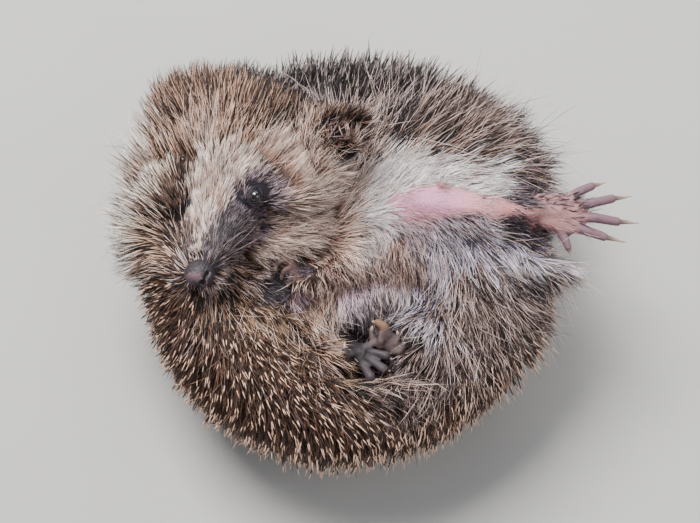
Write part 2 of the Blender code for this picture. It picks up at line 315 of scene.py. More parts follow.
def search_tree(places):
    """A tree that finds the nearest of the places."""
    tree = KDTree(len(places))
    for index, place in enumerate(places):
        tree.insert(place, index)
    tree.balance()
    return tree


def group_weights(places):
    """How much each group of nodes has to say at each place."""
    distances = []
    for names in GROUPS.values():
        tree = BVHTree.FromBMesh(solid_copy(names))
        distances.append([tree.find_nearest(Vector(place) * MM)[3] / MM for place in places])
    distances = np.array(distances)
    weights = np.exp(-(distances - distances.min(0)) / GROUP_REACH)
    return dict(zip(GROUPS, weights / weights.sum(0)))


# The head's own frame, from its eyes and nose: X towards the nose tip, Y to its left, Z out of
# the crown. What the face needs is given in millimetres of this frame.
EYE_OUT = 1.6  # how far the eyes stand out beyond the solids' own


def centre_of(name):
    return sum(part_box(name), Vector()) / 2


eye_places = {1: centre_of("eye_left"), -1: centre_of("eye_right")}
nose_place = centre_of("nose")
between_eyes = (eye_places[1] + eye_places[-1]) / 2
head_left = (eye_places[1] - eye_places[-1]).normalized()
head_front = nose_place - between_eyes
head_front = (head_front - head_left * head_front.dot(head_left)).normalized()
head_up = head_front.cross(head_left)
HEAD = Matrix((head_front, head_left, head_up)).transposed().to_4x4()
HEAD.translation = between_eyes
NOSE = (nose_place - between_eyes).dot(head_front) / MM
EYE_SIDE = (eye_places[1] - between_eyes).length / MM
head_inverse = np.array(HEAD.inverted())


def from_head(front, left, up):
    return head_front * front + head_left * left + head_up * up


GAZE = {side: from_head(0.22, 0.86 * side, 0.46) for side in (1, -1)}
for side in (1, -1):
    eye_places[side] += (GAZE[side] * EYE_OUT + from_head(0, 1.4 * side, -0.8)) * MM


def in_head(places):
    """Places in the head's frame, in millimetres."""
    return places @ head_inverse[:3, :3].T + head_inverse[:3, 3] / MM


def thinned(depth, most, share):
    """The depth, brought down to at most so many millimetres where the share is 1."""
    return depth + (np.minimum(depth, most) - depth) * share


flesh = [name for group in GROUPS.values() for name in group]
FEET = GROUPS["foot"]
outer = settled(
    finished(solid_copy([name for name in flesh if name not in FEET], OVERLAP)),
    ("REMESH", {"mode": "VOXEL", "voxel_size": COARSE_GRID * MM}),
    ("SMOOTH", {"factor": 0.5, "iterations": 5}),
)
outer_places, outer_normals = arrays(outer)
outer_weights = group_weights(outer_places)
depth = sum(outer_weights[name] * COAT_DEPTH[name] for name in GROUPS)
depth = thinned(depth, 2.5, near(outer_places, HOLLOW, 17, 27))
for side in (1, -1):
    depth = thinned(depth, 0.8, near(outer_places, np.array(eye_places[side]) / MM, 5, 12))
inner_places = outer_places - outer_normals * (depth + OVERLAP)[:, None]
outer.vertices.foreach_set("co", (inner_places * MM).astype(np.float32).ravel())


def add_ball(bm, centre, radii, axes=Matrix.Identity(4), detail=3):
    """Adds an ellipsoid, given in millimetres of `axes`."""
    scale = Matrix.Diagonal((*(radius * MM for radius in radii), 1.0))
    place = axes @ Matrix.Translation(Vector(centre) * MM) @ scale
    bmesh.ops.create_icosphere(bm, subdivisions=detail, radius=1.0, matrix=place)


def add_row(bm, stations, axes=Matrix.Identity(4), spacing=0.4):
    """Adds a round bar through (x, y, z, radius) stations, as close balls."""
    for start, end in zip(stations, stations[1:]):
        length = (Vector(end[:3]) - Vector(start[:3])).length
        steps = max(2, math.ceil(length / (spacing * min(start[3], end[3]))))
        for step in range(steps + 1):
            x, y, z, radius = (a + (b - a) * step / steps for a, b in zip(start, end))
            add_ball(bm, (x, y, z), (radius,) * 3, axes, detail=2)


# The paws: bare pads and five toes each, every toe with a claw. They are given as rows of
# (x, y, z, radius) stations for the palm, then for each toe with the point of its claw.
PAWS = {
    "hind_left_foot": (
        (
            ((59.7, 12.8, 68, 3.6), (64.8, 13.4, 67.5, 3.3), (69.1, 13.6, 67, 2.8)),
            ((59.7, 10.1, 68, 4.4), (65.5, 9.3, 67, 4.4), (70.5, 8, 66.5, 3.8)),
            ((61.2, 7.6, 66.5, 3.8), (66.2, 5.5, 66, 3.4), (69.1, 4.1, 65.5, 2.8)),
        ),
        (
            (((67.7, 13.6, 67, 2.2), (73.1, 17.1, 68, 1.75), (77.7, 19.4, 67.5, 1.65)),
             (83.5, 21.6, 66.5)),
            (((69.8, 11.3, 67, 2.3), (77.4, 12.4, 68.5, 1.85), (84.9, 14.8, 67, 1.7)),
             (92.5, 16.5, 65.5)),
            (((71.3, 8.4, 66.5, 2.3), (78.8, 7, 68, 1.9), (86.4, 6.2, 66.5, 1.7)), (95, 6.5, 64.5)),
            (((69.5, 5.1, 66, 2.2), (75.6, 2.5, 67, 1.85), (81.7, 0.8, 65.5, 1.65)), (90, -0.5, 63.5)),
            (((66.2, 3.9, 65, 2), (68, 0, 65, 1.6), (69.1, -2.7, 64, 1.4)), (70.5, -5.9, 62.5)),
        ),
    ),
    "hind_right_foot": (
        (((-6.9, -36.6, 52, 3.4), (-4.3, -39.2, 53.5, 4.2), (-2.9, -39.8, 53, 3.8)),),
        (
            (((-3.6, -43.3, 56, 1.9), (-2.2, -46.4, 57.5, 1.6), (-0.7, -49, 58, 2)), (1.8, -50.3, 58)),
            (((-1.8, -41.8, 57, 1.8), (1.4, -44.1, 58, 1.45), (3.8, -46.1, 58.2, 1.95)),
             (6.3, -46.8, 58)),
            (((-1.1, -39.5, 57.5, 1.7), (2.1, -40.3, 58.6, 1.35), (4.7, -41.3, 58.6, 1.8)),
             (7, -42.6, 58)),
            (((-3.6, -36.7, 55, 1.5), (-0.7, -36.5, 56.5, 1.2), (0.7, -36.1, 56.5, 1.2)),
             (2.9, -35.5, 56)),
            (((-6.5, -39.4, 56, 1.7), (-8.8, -41.2, 58.5, 1.2), (-9.7, -39.7, 59.5, 1.4)),
             (-9.9, -36.4, 60)),
        ),
    ),
    "fore_right_foot": (
        (((1.8, -35.1, 50, 3.2), (4.7, -35.5, 51, 3)),),
        (
            (((5.7, -35.5, 55, 1.9), (5.7, -33, 57.5, 1.9), (3.9, -30.5, 59, 1.8),
              (1.8, -29.2, 59.5, 1.45)), (-0.4, -28.6, 59)),
            (((5.7, -37.1, 55, 1.6), (8.3, -36.2, 57.5, 1.45), (9, -34, 58, 1.25)), (8.6, -31.3, 58)),
            (((6.1, -38.6, 55, 1.6), (9.3, -39.4, 57, 1.4), (10.8, -37.7, 57.5, 1.2)), (11.1, -34.8, 57)),
            (((2.9, -37.1, 56, 1.6), (2.9, -35.6, 58, 1.4), (2.9, -33.5, 58.5, 1.2)), (3.6, -31.5, 58.5)),
            (((1.1, -35.5, 55, 1.6), (0, -33.8, 56.5, 1.3), (-0.4, -31.7, 57, 1.1)), (0, -29.3, 57)),
        ),
    ),
    "fore_left_foot": (
        (((-25.2, -9.7, 57.5, 2.6), (-27, -9, 59.5, 2.6)),),
        (
            (((-27.7, -7.7, 61, 1.5), (-30.3, -7, 62.8, 1.25), (-32.4, -7.7, 63, 1.15),
              (-33.7, -8.8, 62, 1)), (-34.2, -10.4, 61)),
            (((-27, -9.8, 61.5, 1.5), (-29.2, -10.3, 63.6, 1.25), (-31, -11.4, 63.5, 1.15),
              (-31.7, -12.7, 62.5, 1)), (-32.2, -13.9, 61)),
            (((-26.5, -11.6, 61, 1.45), (-27.7, -12.7, 63, 1.25), (-29, -14.2, 62.8, 1.1),
              (-29.5, -15.4, 62, 0.95)), (-30.1, -16.4, 60.5)),
            (((-25.6, -12.7, 60, 1.4), (-26.3, -14.7, 61.5, 1.2), (-27.2, -15.9, 61.2, 1),
              (-27.7, -16.8, 60.5, 0.95)), (-28.3, -17.5, 59.5)),
            (((-27.4, -6.3, 59.5, 1.4), (-28.8, -4.6, 60.5, 1.1), (-30.6, -4, 60.5, 1)),
             (-32.1, -4.2, 60)),
        ),
    ),
}
details = bmesh.new()
details.from_mesh(outer)
toe_tips = {}
for foot, (palm, toes) in PAWS.items():
    for stations in palm:
        add_row(details, stations)
    for toe, (stations, point) in enumerate(toes, 1):
        add_row(details, stations)
        root = Vector(stations[-1][:3]) * MM
        reach = Vector(point) * MM - root
        toe_tips[foot, toe] = (root, reach.normalized(), reach.length)
# flesh that closes in on the two paws in the hollow
for x, y, z, radius in (
    (-19, -43, 52, 7.5),
    (-15, -48, 49, 6.5),
    (15.5, -43, 51, 7.5),
    (20, -37.5, 53, 7),
    (12, -49, 51, 6.5),
):
    add_ball(details, (x, y, z), (radius,) * 3)
for side in (1, -1):
    # whisker pad
    add_row(details, ((NOSE - 6, 2.6 * side, -2.8, 3.2), (NOSE - 12, 3.6 * side, -3.6, 5.0)), HEAD)
    # cheekbone
    cheekbone = (
        (3, 7.6 * side, -6.0, 6.6),
        (12, 6.4 * side, -5.6, 6.5),
        (21, 4.6 * side, -4.8, 5.4),
        (28, 2.6 * side, -3.6, 3.8),
    )
    add_row(details, cheekbone, HEAD, 0.25)
    add_ball(details, (-5, 9.4 * side, -4.5), (7, 4.4, 4.4), HEAD)
    # brow, and the ball that the lids lie on
    brow = ((10, 5.0 * side, -3.0, 4.4), (2, 5.0 * side, -1.6, 5.0), (-6, 5.0 * side, 1.4, 5.0))
    add_row(details, brow, HEAD, 0.25)
    add_ball(details, eye_places[side] / MM - GAZE[side] * 2.7, (4.0, 4.0, 4.0))
# the slope from the cheek down to the chest
add_row(details, ((-41, 9, 58, 9), (-34, 13, 59, 10), (-24, 9, 58, 9.5)), spacing=0.25)
add_row(details, ((-40, 3, 54.5, 9.5), (-28, 3.5, 56, 9.5)), spacing=0.25)
# the nipple on the groin
add_row(details, ((24, 15.5, 76.2, 1.9), (24, 15.8, 78.4, 0.9)))
# the pads of the outstretched sole
for x, y, z, radius in ((71, 13, 69, 1.9), (73, 9.5, 69, 2.0), (72, 5.5, 68, 1.9), (66, 9, 70, 2.1)):
    add_ball(details, (x, y, z), (radius, radius, radius * 0.8))

hull = settled(
    finished(details),
    ("REMESH", {"mode": "VOXEL", "voxel_size": FINE_GRID * MM}),
    ("SMOOTH", {"factor": 0.5, "iterations": 2}),
    ("TRIANGULATE", {}),
    ("DECIMATE", {"ratio": KEPT_SHARE}),
)
skin_places, skin_normals = arrays(hull)
inner_tree = search_tree(inner_places)
nearest = np.array([[hit[1] for hit in inner_tree.find_n(place, 3)] for place in skin_places])
muzzle_share = outer_weights["muzzle"][nearest].mean(1)


def row_gap(places, stations):
    """How far places are from the surface of a round bar through stations, in millimetres."""
    least = np.full(len(places), 1e3)
    for start, end in zip(stations, stations[1:]):
        start, end = np.array(start), np.array(end)
        way = end - start
        along = np.clip((places - start[:3]) @ way[:3] / (way[:3] @ way[:3]), 0, 1)
        axis = start + along[:, None] * way
        least = np.minimum(least, np.linalg.norm(places - axis[:, :3], axis=1) - axis[:, 3])
    return least


paw_share, toe_share = {}, {}
for foot, (palm, toes) in PAWS.items():
    toe_gap = np.min([row_gap(skin_places, stations) for stations, point in toes], 0)
    pad_gap = np.min([row_gap(skin_places, stations[1:]) for stations, point in toes], 0)
    palm_gap = np.min([row_gap(skin_places, stations) for stations in palm], 0)
    toe_share[foot] = 1 - smoothstep(pad_gap, 0.5, 2.5)
    paw_share[foot] = 1 - smoothstep(np.minimum(toe_gap, palm_gap), 0.3, 1.6)


# The lie of the coat: which way the hair runs over the body, of what kind and how long it is.
# Each kind is followed by its guides. A guide is a place and a direction in hundredths, then the
# hair's length in millimetres and the degrees it stands off the skin.
GUIDE_TABLE = [
    ("blaze", (-61, -5, 76, -7, 99, -14, 4, 10), (-60, 4, 77, 2, 100, 0, 8, 12),
        (-64, 14, 73, 3, 35, 94, 10, 14), (-65, 10, 72, -2, 100, 4, 8, 12),
        (-65, 6, 72, -2, 100, 6, 6, 11), (-56, 8, 79, 43, 88, 18, 9, 14),
        (-51, 14, 86, 48, 58, 66, 11, 16)),
    ("cream", (-63, 23, 83, -11, 98, 18, 13, 20)),
    ("blaze", (-58, 17, 84, 7, 72, 69, 11, 17)),
    ("cream", (-55, 24, 89, 26, 88, 40, 13, 22), (-73, 31, 74, -35, 93, 10, 15, 28)),
    ("ruff", (-79, 22, 72, -69, 72, 3, 16, 26)),
    ("cream", (-46, 23, 91, 49, 83, 25, 13, 20)),
    ("crown", (-42, 29, 92, 43, 89, 15, 14, 24), (-60, 36, 87, 0, 96, -29, 16, 30),
        (-72, 43, 79, -25, 97, 1, 16, 34), (-49, 38, 92, 24, 96, -12, 16, 30),
        (-61, 49, 81, -3, 100, -9, 20, 46), (-39, 40, 92, 26, 94, -22, 15, 30),
        (-29, 34, 89, 36, 93, -3, 14, 24)),
    ("cheek", (-34, 18, 87, 75, 64, 17, 9, 14), (-29, 8, 82, 91, 32, 28, 12, 17),
        (-26, 17, 87, 65, 73, 21, 10, 15)),
    ("cream", (-19, 24, 88, 51, 86, -6, 14, 34)),
    ("beige", (-11, 22, 80, 51, 76, 40, 13, 24)),
    ("shadow", (-13, 29, 88, 33, 19, 92, 9, 18), (-10, 28, 84, 42, 42, 80, 8, 16)),
    ("flankpale", (-7, 26, 83, 48, 59, 65, 10, 16)),
    ("flankgrey", (-11, 31, 92, 30, 90, -33, 12, 20)),
    ("beige", (-12, 20, 82, 32, 95, 2, 12, 28), (-8, 24, 72, 36, 93, -4, 13, 26)),
    ("cream", (-16, 27, 83, 43, 65, 63, 14, 32)),
    ("flankpale", (-3, 26, 87, 43, 68, 60, 13, 20), (0, 40, 73, 50, 81, 32, 17, 20),
        (-6, 42, 74, 45, 83, 33, 15, 22)),
    ("beige", (-18, 16, 85, 54, 84, 7, 12, 16)),
    ("cheek", (-23, 6, 77, 87, 35, 35, 13, 18), (-31, 5, 66, 99, 5, 16, 12, 18)),
    ("beige", (-24, 0, 65, 97, -25, 3, 12, 18)),
    ("cheek", (-38, 1, 64, 94, -29, 17, 11, 16)),
    ("mask", (-46, 1, 74, 44, 29, -85, 3.5, 9), (-44, 6, 75, 89, 39, 22, 3, 8),
        (-48, 8, 81, 24, 60, 77, 2.6, 8)),
    ("smoke", (-43, 13, 86, 51, 72, 47, 3.5, 8)),
    ("blaze", (-45, 16, 88, 50, 73, 47, 8, 14)),
    ("cheek", (-38, 20, 90, 59, 79, 18, 11, 18)),
    ("smoke", (-36, 12, 83, 88, 42, 20, 4, 9), (-41, 6, 72, 72, 23, -66, 7, 24),
        (-43, 4, 65, 88, 5, -48, 6, 26)),
    ("chin", (-44, 0, 65, 85, -3, -52, 6, 26), (-46, -5, 66, 84, -15, -52, 5.5, 26)),
    ("cheek", (-37, 6, 67, 98, 2, 21, 12, 18), (-39, -4, 63, 91, -37, 16, 9, 15)),
    ("beige", (-39, -11, 62, 68, -19, -71, 8, 16), (-31, -6, 70, 94, -25, 23, 9, 14)),
    ("mask", (-56, -6, 77, 46, 89, 5, 3, 10), (-50, -7, 70, 38, 37, -85, 3, 10)),
    ("chin", (-44, -7, 64, 87, -7, -48, 5, 12), (-53, -13, 69, 88, -36, -29, 3, 12),
        (-45, -13, 65, 74, -53, -41, 6, 16), (-49, -18, 67, 60, -80, -11, 5, 16)),
    ("mask", (-65, -4, 71, -29, 96, 4, 2.6, 9)),
    ("blaze", (-63, 8, 72, -16, 99, 1, 8, 12)),
    ("shadow", (-67, 11, 71, 7, 100, 5, 5, 10), (-69, 8, 71, -2, 100, 6, 6, 12),
        (-69, 5, 71, -2, 100, 6, 6, 12), (-71, 14, 70, -42, 84, -34, 9, 14),
        (-71, 3, 70, -96, 21, -16, 8, 14), (-68, 3, 71, 3, 100, 7, 5, 10),
        (-67, -4, 70, -12, 99, 5, 5, 10), (-68, 16, 71, 1, 99, -11, 7, 12),
        (-67, 18, 74, 3, 64, 77, 8, 14)),
    ("cream", (-68, 26, 78, -20, 94, 28, 13, 20)),
    ("shadow", (-68, 22, 74, -21, 96, 21, 11, 18)),
    ("blaze", (-52, 7, 80, 44, 59, 67, 8, 12), (-59, 0, 77, 8, 100, 6, 6, 11)),
    ("mask", (-53, -2, 77, 41, 90, 13, 3, 9), (-51, 3, 79, 40, 90, 18, 4, 9)),
    ("smoke", (-49, 7, 79, 19, -6, 98, 5, 10), (-55, -2, 78, 29, 95, 15, 4.5, 10)),
    ("blaze", (-62, 15, 79, -13, 76, 64, 10, 18)),
    ("ruff", (-72, 20, 70, -69, 57, 44, 14, 22), (-75, 12, 70, -90, -3, 43, 15, 16),
        (-74, 3, 70, -80, -31, 51, 15, 14), (-75, -5, 67, -82, -3, -57, 14, 14)),
    ("ruffpale", (-83, 13, 71, -90, 30, -30, 19, 20), (-84, 2, 70, -88, 6, -47, 19, 20),
        (-81, -7, 67, -86, -50, 6, 15, 16), (-85, 25, 69, -79, 54, -29, 19, 24),
        (-82, 35, 72, -54, 68, -49, 17, 22)),
    ("crown", (-76, 41, 76, -51, 86, -6, 17, 26)),
    ("blackquill", (-26, 53, 75, 16, 98, -16, 15, 34), (-26, 60, 73, 13, 94, -33, 16, 60),
        (-42, 48, 89, 8, 86, -50, 13, 32), (-8, 60, 74, 10, 93, -36, 16, 52),
        (10, 56, 74, 32, 95, -4, 16, 50), (24, 52, 74, 41, 87, -26, 16, 50)),
    ("flankgrey", (-11, 45, 75, 28, 96, 8, 19, 22), (3, 39, 73, 50, 81, 32, 20, 20),
        (13, 48, 75, 51, 86, -4, 20, 24)),
    ("flank", (28, 45, 74, 55, 79, -27, 22, 24)),
    ("blackquill", (-26, 46, 83, 11, 75, -66, 13, 28), (-17, 52, 75, 28, 96, 8, 13, 26),
        (-32, 42, 90, 18, 95, -27, 13, 26), (-4, 50, 75, 33, 94, 8, 13, 24)),
    ("flankpale", (-4, 28, 71, 55, 83, -8, 14, 14)),
    ("flank", (17, 39, 74, 69, 70, 18, 21, 20), (32, 38, 74, 79, 60, 12, 21, 24),
        (39, 31, 74, 86, 48, -16, 22, 24)),
    ("flankgrey", (53, 41, 64, 47, 58, -66, 28, 27)),
    ("flank", (52, 26, 71, 66, 39, -64, 28, 27)),
    ("flankgrey", (48, 46, 66, 41, 61, -68, 27, 29), (59, 36, 62, 55, 48, -68, 31, 30)),
    ("flank", (60, 26, 65, 67, 36, -65, 30, 30)),
    ("beige", (-10, 18, 71, 54, 83, 13, 13, 14), (-13, 5, 68, 61, 67, 41, 11, 14)),
    ("fawn", (-17, -8, 68, 45, -88, 16, 12, 20), (-10, -13, 66, 29, -78, -55, 12, 20),
        (-22, -4, 66, 82, -57, 3, 10, 18)),
    ("beige", (-11, -1, 68, 50, -73, 46, 11, 16)),
    ("white", (10, 19, 75, 91, 38, 15, 9, 9), (24, 19, 76, 83, 30, -48, 9, 9),
        (-2, 11, 73, 79, 59, 16, 10, 10), (0, 16, 73, 73, 67, 14, 11, 11),
        (3, 22, 73, 73, 69, -1, 11, 11), (2, 7, 73, 97, 21, 12, 9, 10),
        (-2, 1, 69, 39, -88, -27, 10, 12)),
    ("bare", (9, 9, 75, 86, -11, 50, 3, 16)),
    ("white", (-2, 5, 72, 96, -20, 19, 8, 9), (39, 21, 73, 100, -3, -6, 10, 10)),
    ("legdark", (49, 20, 72, 98, -5, -17, 8, 12), (59, 18, 67, 81, 20, -55, 7, 14),
        (67, 21, 56, 39, 42, -82, 7, 14)),
    ("bare", (17, 10, 78, 98, 20, 8, 2, 20), (29, 9, 79, 100, -2, 5, 2, 20),
        (44, 6, 78, 95, 4, -29, 2, 20), (59, 6, 73, 95, 3, -30, 1.5, 20)),
    ("bluewhite", (37, 0, 71, 42, -89, 16, 11, 14)),
    ("hollow", (47, 1, 72, 92, -38, -2, 4, 10)),
    ("bluewhite", (45, -3, 71, 57, -82, -6, 11, 14)),
    ("hollow", (55, 0, 70, 91, -32, -28, 5, 12)),
    ("bluewhite", (53, -5, 70, 37, -71, 60, 12, 16)),
    ("fawn", (5, -2, 70, -19, -88, -44, 12, 20)),
    ("lilac", (1, 3, 71, 31, -90, -30, 8, 14)),
    ("fawn", (13, -8, 68, 0, -88, -47, 13, 20), (-3, -8, 67, -10, -97, -23, 12, 20)),
    ("lilac", (14, -1, 72, 31, -91, -28, 9, 14)),
    ("bluewhite", (21, -4, 71, 10, -88, -47, 11, 16), (31, -1, 71, 45, -79, -42, 11, 14),
        (22, -13, 65, -8, -76, -65, 13, 18), (45, -5, 71, 57, -82, -6, 11, 14),
        (56, -9, 70, 65, -71, -26, 15, 26), (60, -2, 66, 73, -17, -66, 20, 30)),
    ("skirt", (61, -15, 63, 60, 2, -80, 24, 30)),
    ("beige", (-15, -18, 63, 19, -81, -55, 12, 20)),
    ("lilac", (-7, -19, 60, 10, -84, -54, 11, 18)),
    ("beige", (-21, -15, 67, 39, -75, -53, 10, 18), (-23, -19, 63, 26, -41, -88, 10, 18),
        (-19, -24, 60, 39, -74, -54, 11, 18)),
    ("lilac", (-26, -19, 60, 38, -83, 41, 8, 18)),
    ("beige", (-25, -17, 65, 42, -47, -78, 9, 18)),
    ("lilac", (0, -19, 57, 0, -77, -64, 10, 16)),
    ("hollow", (-8, -25, 56, 18, -71, -68, 6, 16)),
    ("bluewhite", (10, -19, 56, -13, -42, -90, 12, 18)),
    ("hollow", (10, -28, 57, -16, -25, -96, 7, 18)),
    ("bluewhite", (18, -30, 65, -47, -87, 13, 14, 20)),
    ("skirt", (17, -36, 56, -26, -65, -71, 10, 20)),
    ("bluewhite", (13, -32, 53, -37, -39, -84, 8, 20)),
    ("skirt", (20, -50, 67, -21, -96, -18, 13, 20), (11, -51, 67, -11, -98, -18, 11, 18),
        (29, -24, 67, 5, -94, 35, 18, 24)),
    ("flankpale", (27, -14, 67, -1, -100, -1, 16, 22)),
    ("skirt", (34, -36, 68, 14, -95, -28, 17, 24), (36, -12, 70, 34, -93, 13, 16, 22),
        (27, -47, 67, -25, -95, -16, 13, 22), (44, -25, 69, 35, -89, -30, 17, 26),
        (46, -16, 70, 48, -88, -7, 17, 24), (56, -23, 64, 53, -43, -73, 17, 34)),
    ("golden", (-37, -25, 62, 29, -96, 6, 13, 28), (-31, -26, 61, 69, -72, -3, 13, 30)),
    ("quill", (-46, -31, 68, 35, -94, -5, 13, 24), (-38, -35, 67, 48, -88, 4, 13, 24),
        (-30, -43, 66, 57, -82, 6, 13, 24)),
    ("golden", (-25, -32, 59, 50, -74, -45, 12, 20), (-15, -41, 52, 70, -38, -61, 14, 20)),
    ("fawn", (-17, -33, 56, 55, -78, -28, 14, 20), (-12, -37, 57, 37, -92, 10, 11, 12)),
    ("golden", (-11, -42, 50, 53, -82, 20, 12, 12), (-10, -55, 67, 90, -43, -6, 14, 18)),
    ("skirt", (0, -56, 67, 95, -29, -8, 13, 16), (11, -57, 66, 64, -75, -14, 13, 16)),
    ("quill", (-54, -37, 68, -24, -94, -22, 14, 20), (-74, -32, 60, -57, -55, -61, 14, 24),
        (-78, -18, 62, -67, -33, -66, 13, 22), (-67, -49, 55, -36, -10, -93, 14, 24),
        (-52, -62, 53, -37, -31, -87, 14, 26), (-42, -53, 67, 15, -97, -19, 14, 20),
        (-42, -40, 68, 33, -93, 14, 14, 20)),
    ("golden", (-60, -25, 69, -8, -99, -8, 12, 16), (-51, -25, 69, 21, -98, -2, 12, 20)),
    ("quill", (-66, -23, 69, -41, -80, -44, 13, 18), (-56, -31, 69, 2, -100, -2, 13, 18)),
    ("golden", (-45, -23, 66, 50, -87, -4, 12, 26)),
    ("chin", (-58, -23, 69, 11, -99, -10, 7, 22)),
    ("quill", (-28, -60, 66, 75, -58, -31, 14, 20), (-29, -71, 56, -1, -58, -81, 14, 24),
        (-14, -69, 62, 56, -61, -56, 14, 20), (-18, -76, 51, -21, -28, -94, 14, 26),
        (0, -72, 57, 17, -61, -78, 14, 20), (0, -77, 44, -19, -25, -95, 14, 26),
        (10, -66, 62, -10, -88, -47, 14, 20), (20, -71, 44, -24, -32, -92, 14, 26),
        (23, -61, 59, -33, -77, -54, 14, 20), (38, -60, 47, -22, -54, -81, 14, 26),
        (41, -50, 59, -23, -80, -55, 14, 22), (52, -45, 49, -5, -59, -81, 14, 24),
        (57, -34, 54, 30, -11, -95, 16, 50)),
    ("skirt", (61, -26, 55, 44, 0, -90, 22, 32)),
]
INSIDE_GUIDES = [
    ("hollow", (-3, -31, 47, 20, -90, -20, 4, 25), (-7, -34, 47, 70, -50, 30, 4, 25),
        (8, -38, 47, -70, 20, 30, 4, 25), (1, -45, 47, 90, 30, 30, 5, 22),
        (-35, -12, 57, 90, -30, 10, 4, 14)),
    ("legdark", (60, 12, 60, 95, 10, -20, 6, 14), (48, 14, 60, 90, 10, -30, 8, 14),
        (72, 20, 68, 90, 10, -20, 4, 16), (50, 15, 76, 100, 0, -20, 7, 14),
        (58, 15, 74, 100, 0, -30, 6, 14), (66, 15, 70, 100, 0, -30, 5, 14)),
    ("white", (36, 20, 78, 100, -5, -10, 9, 10)),
    ("bare", (84, 8, 66, 100, 0, 0, 0.6, 20), (76, 12, 68, 100, 0, 0, 0.8, 20)),
    ("hollow", (-30, -14, 64, -80, 40, 20, 2.5, 20), (-22, -12, 66, -80, 40, 20, 3.5, 20)),
    ("flankgrey", (52, -10, 70, 90, -40, -10, 8, 18), (62, -13, 62, 90, -40, -10, 8, 18)),
]
GUIDES = []


def add_guides(table):
    for kind, *rows in table:
        for x, y, z, to_x, to_y, to_z, length, lift in rows:
            GUIDES.append((x, y, z, to_x / 100, to_y / 100, to_z / 100, kind, length, lift))


add_guides(GUIDE_TABLE)
# three rings of spines round the back, which the body lies on
for angle in range(0, 360, 24):
    c, s = math.cos(math.radians(angle)), math.sin(math.radians(angle))
    GUIDES += [
        (74 * c - 2, 72 * s - 2, 34, 0.35 * c, 0.35 * s, -0.9, "quill", 14, 26),
        (66 * c - 2, 64 * s - 2, 12, 0.3 + 0.5 * c, 0.5 * s, -0.6, "quill", 14, 22),
        (34 * c - 2, 32 * s - 2, 3, 1.0, 0.0, 0.0, "quill", 13, 12),
    ]
add_guides(INSIDE_GUIDES)

# Each kind of hair: its colour at the root, the middle and the tip, the share of dark strands
# among it, partly the coat's own and partly painted shade for the dark gaps between locks, how thick a
# strand is in millimetres and how many grow on a square centimetre.
KINDS = {
    "blaze": ((164, 132, 118), (228, 194, 178), (252, 232, 220), 0.13, 0.26, 560),
    "cream": ((62, 42, 35), (162, 122, 100), (230, 188, 164), 0.46, 0.29, 340),
    "crown": ((28, 19, 18), (132, 97, 80), (216, 173, 148), 0.66, 0.33, 230),
    "shadow": ((24, 16, 16), (56, 40, 37), (140, 109, 95), 0.5, 0.28, 520),
    "smoke": ((52, 44, 50), (110, 93, 104), (212, 189, 196), 0.34, 0.2, 640),
    "cheek": ((114, 82, 70), (212, 168, 145), (255, 230, 214), 0.18, 0.28, 440),
    "beige": ((106, 78, 66), (208, 166, 144), (255, 230, 216), 0.22, 0.30, 270),
    "fawn": ((68, 48, 40), (166, 120, 101), (246, 208, 192), 0.36, 0.28, 340),
    "mask": ((28, 22, 28), (52, 43, 50), (164, 144, 150), 0.48, 0.16, 900),
    "chin": ((52, 38, 37), (112, 88, 83), (218, 192, 184), 0.4, 0.25, 400),
    "ruff": ((136, 98, 78), (232, 192, 166), (255, 243, 230), 0.2, 0.31, 280),
    "ruffpale": ((122, 92, 76), (234, 200, 178), (255, 248, 240), 0.18, 0.32, 260),
    "white": ((168, 148, 148), (244, 234, 232), (255, 250, 250), 0.09, 0.28, 340),
    "lilac": ((130, 97, 109), (202, 169, 186), (248, 229, 238), 0.14, 0.30, 290),
    "bluewhite": ((74, 64, 77), (186, 175, 194), (255, 245, 252), 0.28, 0.32, 260),
    "flank": ((28, 20, 19), (150, 118, 105), (230, 194, 182), 0.70, 0.32, 215),
    "flankgrey": ((24, 19, 23), (116, 99, 101), (196, 173, 172), 0.74, 0.31, 225),
    "flankpale": ((60, 44, 41), (166, 134, 123), (248, 221, 212), 0.5, 0.34, 195),
    "skirt": ((28, 20, 20), (150, 120, 111), (236, 204, 194), 0.67, 0.31, 225),
    "golden": ((42, 28, 23), (134, 97, 76), (218, 178, 146), 0.6, 0.31, 195),
    "underdark": ((22, 17, 19), (46, 38, 40), (112, 95, 93), 0.4, 0.34, 0),
    "wisp": ((104, 78, 65), (206, 171, 152), (250, 225, 214), 0.22, 0.3, 0),
    "under": ((34, 24, 20), (80, 56, 46), (150, 114, 93), 0.35, 0.34, 0),
    "legdark": ((38, 31, 35), (76, 65, 70), (136, 120, 126), 0.3, 0.3, 300),
    # the dark hair of the hollow stands for the shade in the belly's hollow round the paws and under the
    # outstretched leg: painted shade
    "hollow": ((32, 25, 29), (62, 51, 58), (122, 105, 115), 0.3, 0.26, 260),
    "bare": ((206, 142, 148), (232, 178, 180), (252, 221, 220), 0.0, 0.15, 300),
    "quill": ((116, 81, 63), (60, 40, 33), (238, 196, 170), 0.0, 0.64, 52),
    "blackquill": ((48, 39, 38), (23, 18, 20), (130, 115, 110), 0.0, 0.62, 54),
}
SPINES = ("quill", "blackquill")
GUIDE_BLUR = 8.0  # square millimetres round a guide within which it holds evenly
BATCH = 5000  # places that are worked out at a time
kind_names = list(KINDS)


def linear(colour):
    """A colour of 0-255 values as scene-linear values."""
    value = np.array(colour) / 255
    return np.where(value < 0.04045, value / 12.92, ((value + 0.055) / 1.055) ** 2.4)


kind_stops = np.array([[linear(stop) for stop in row[:3]] for row in KINDS.values()])
kind_dark, kind_width, kind_density = np.array([row[3:] for row in KINDS.values()]).T
kind_density = kind_density / 100

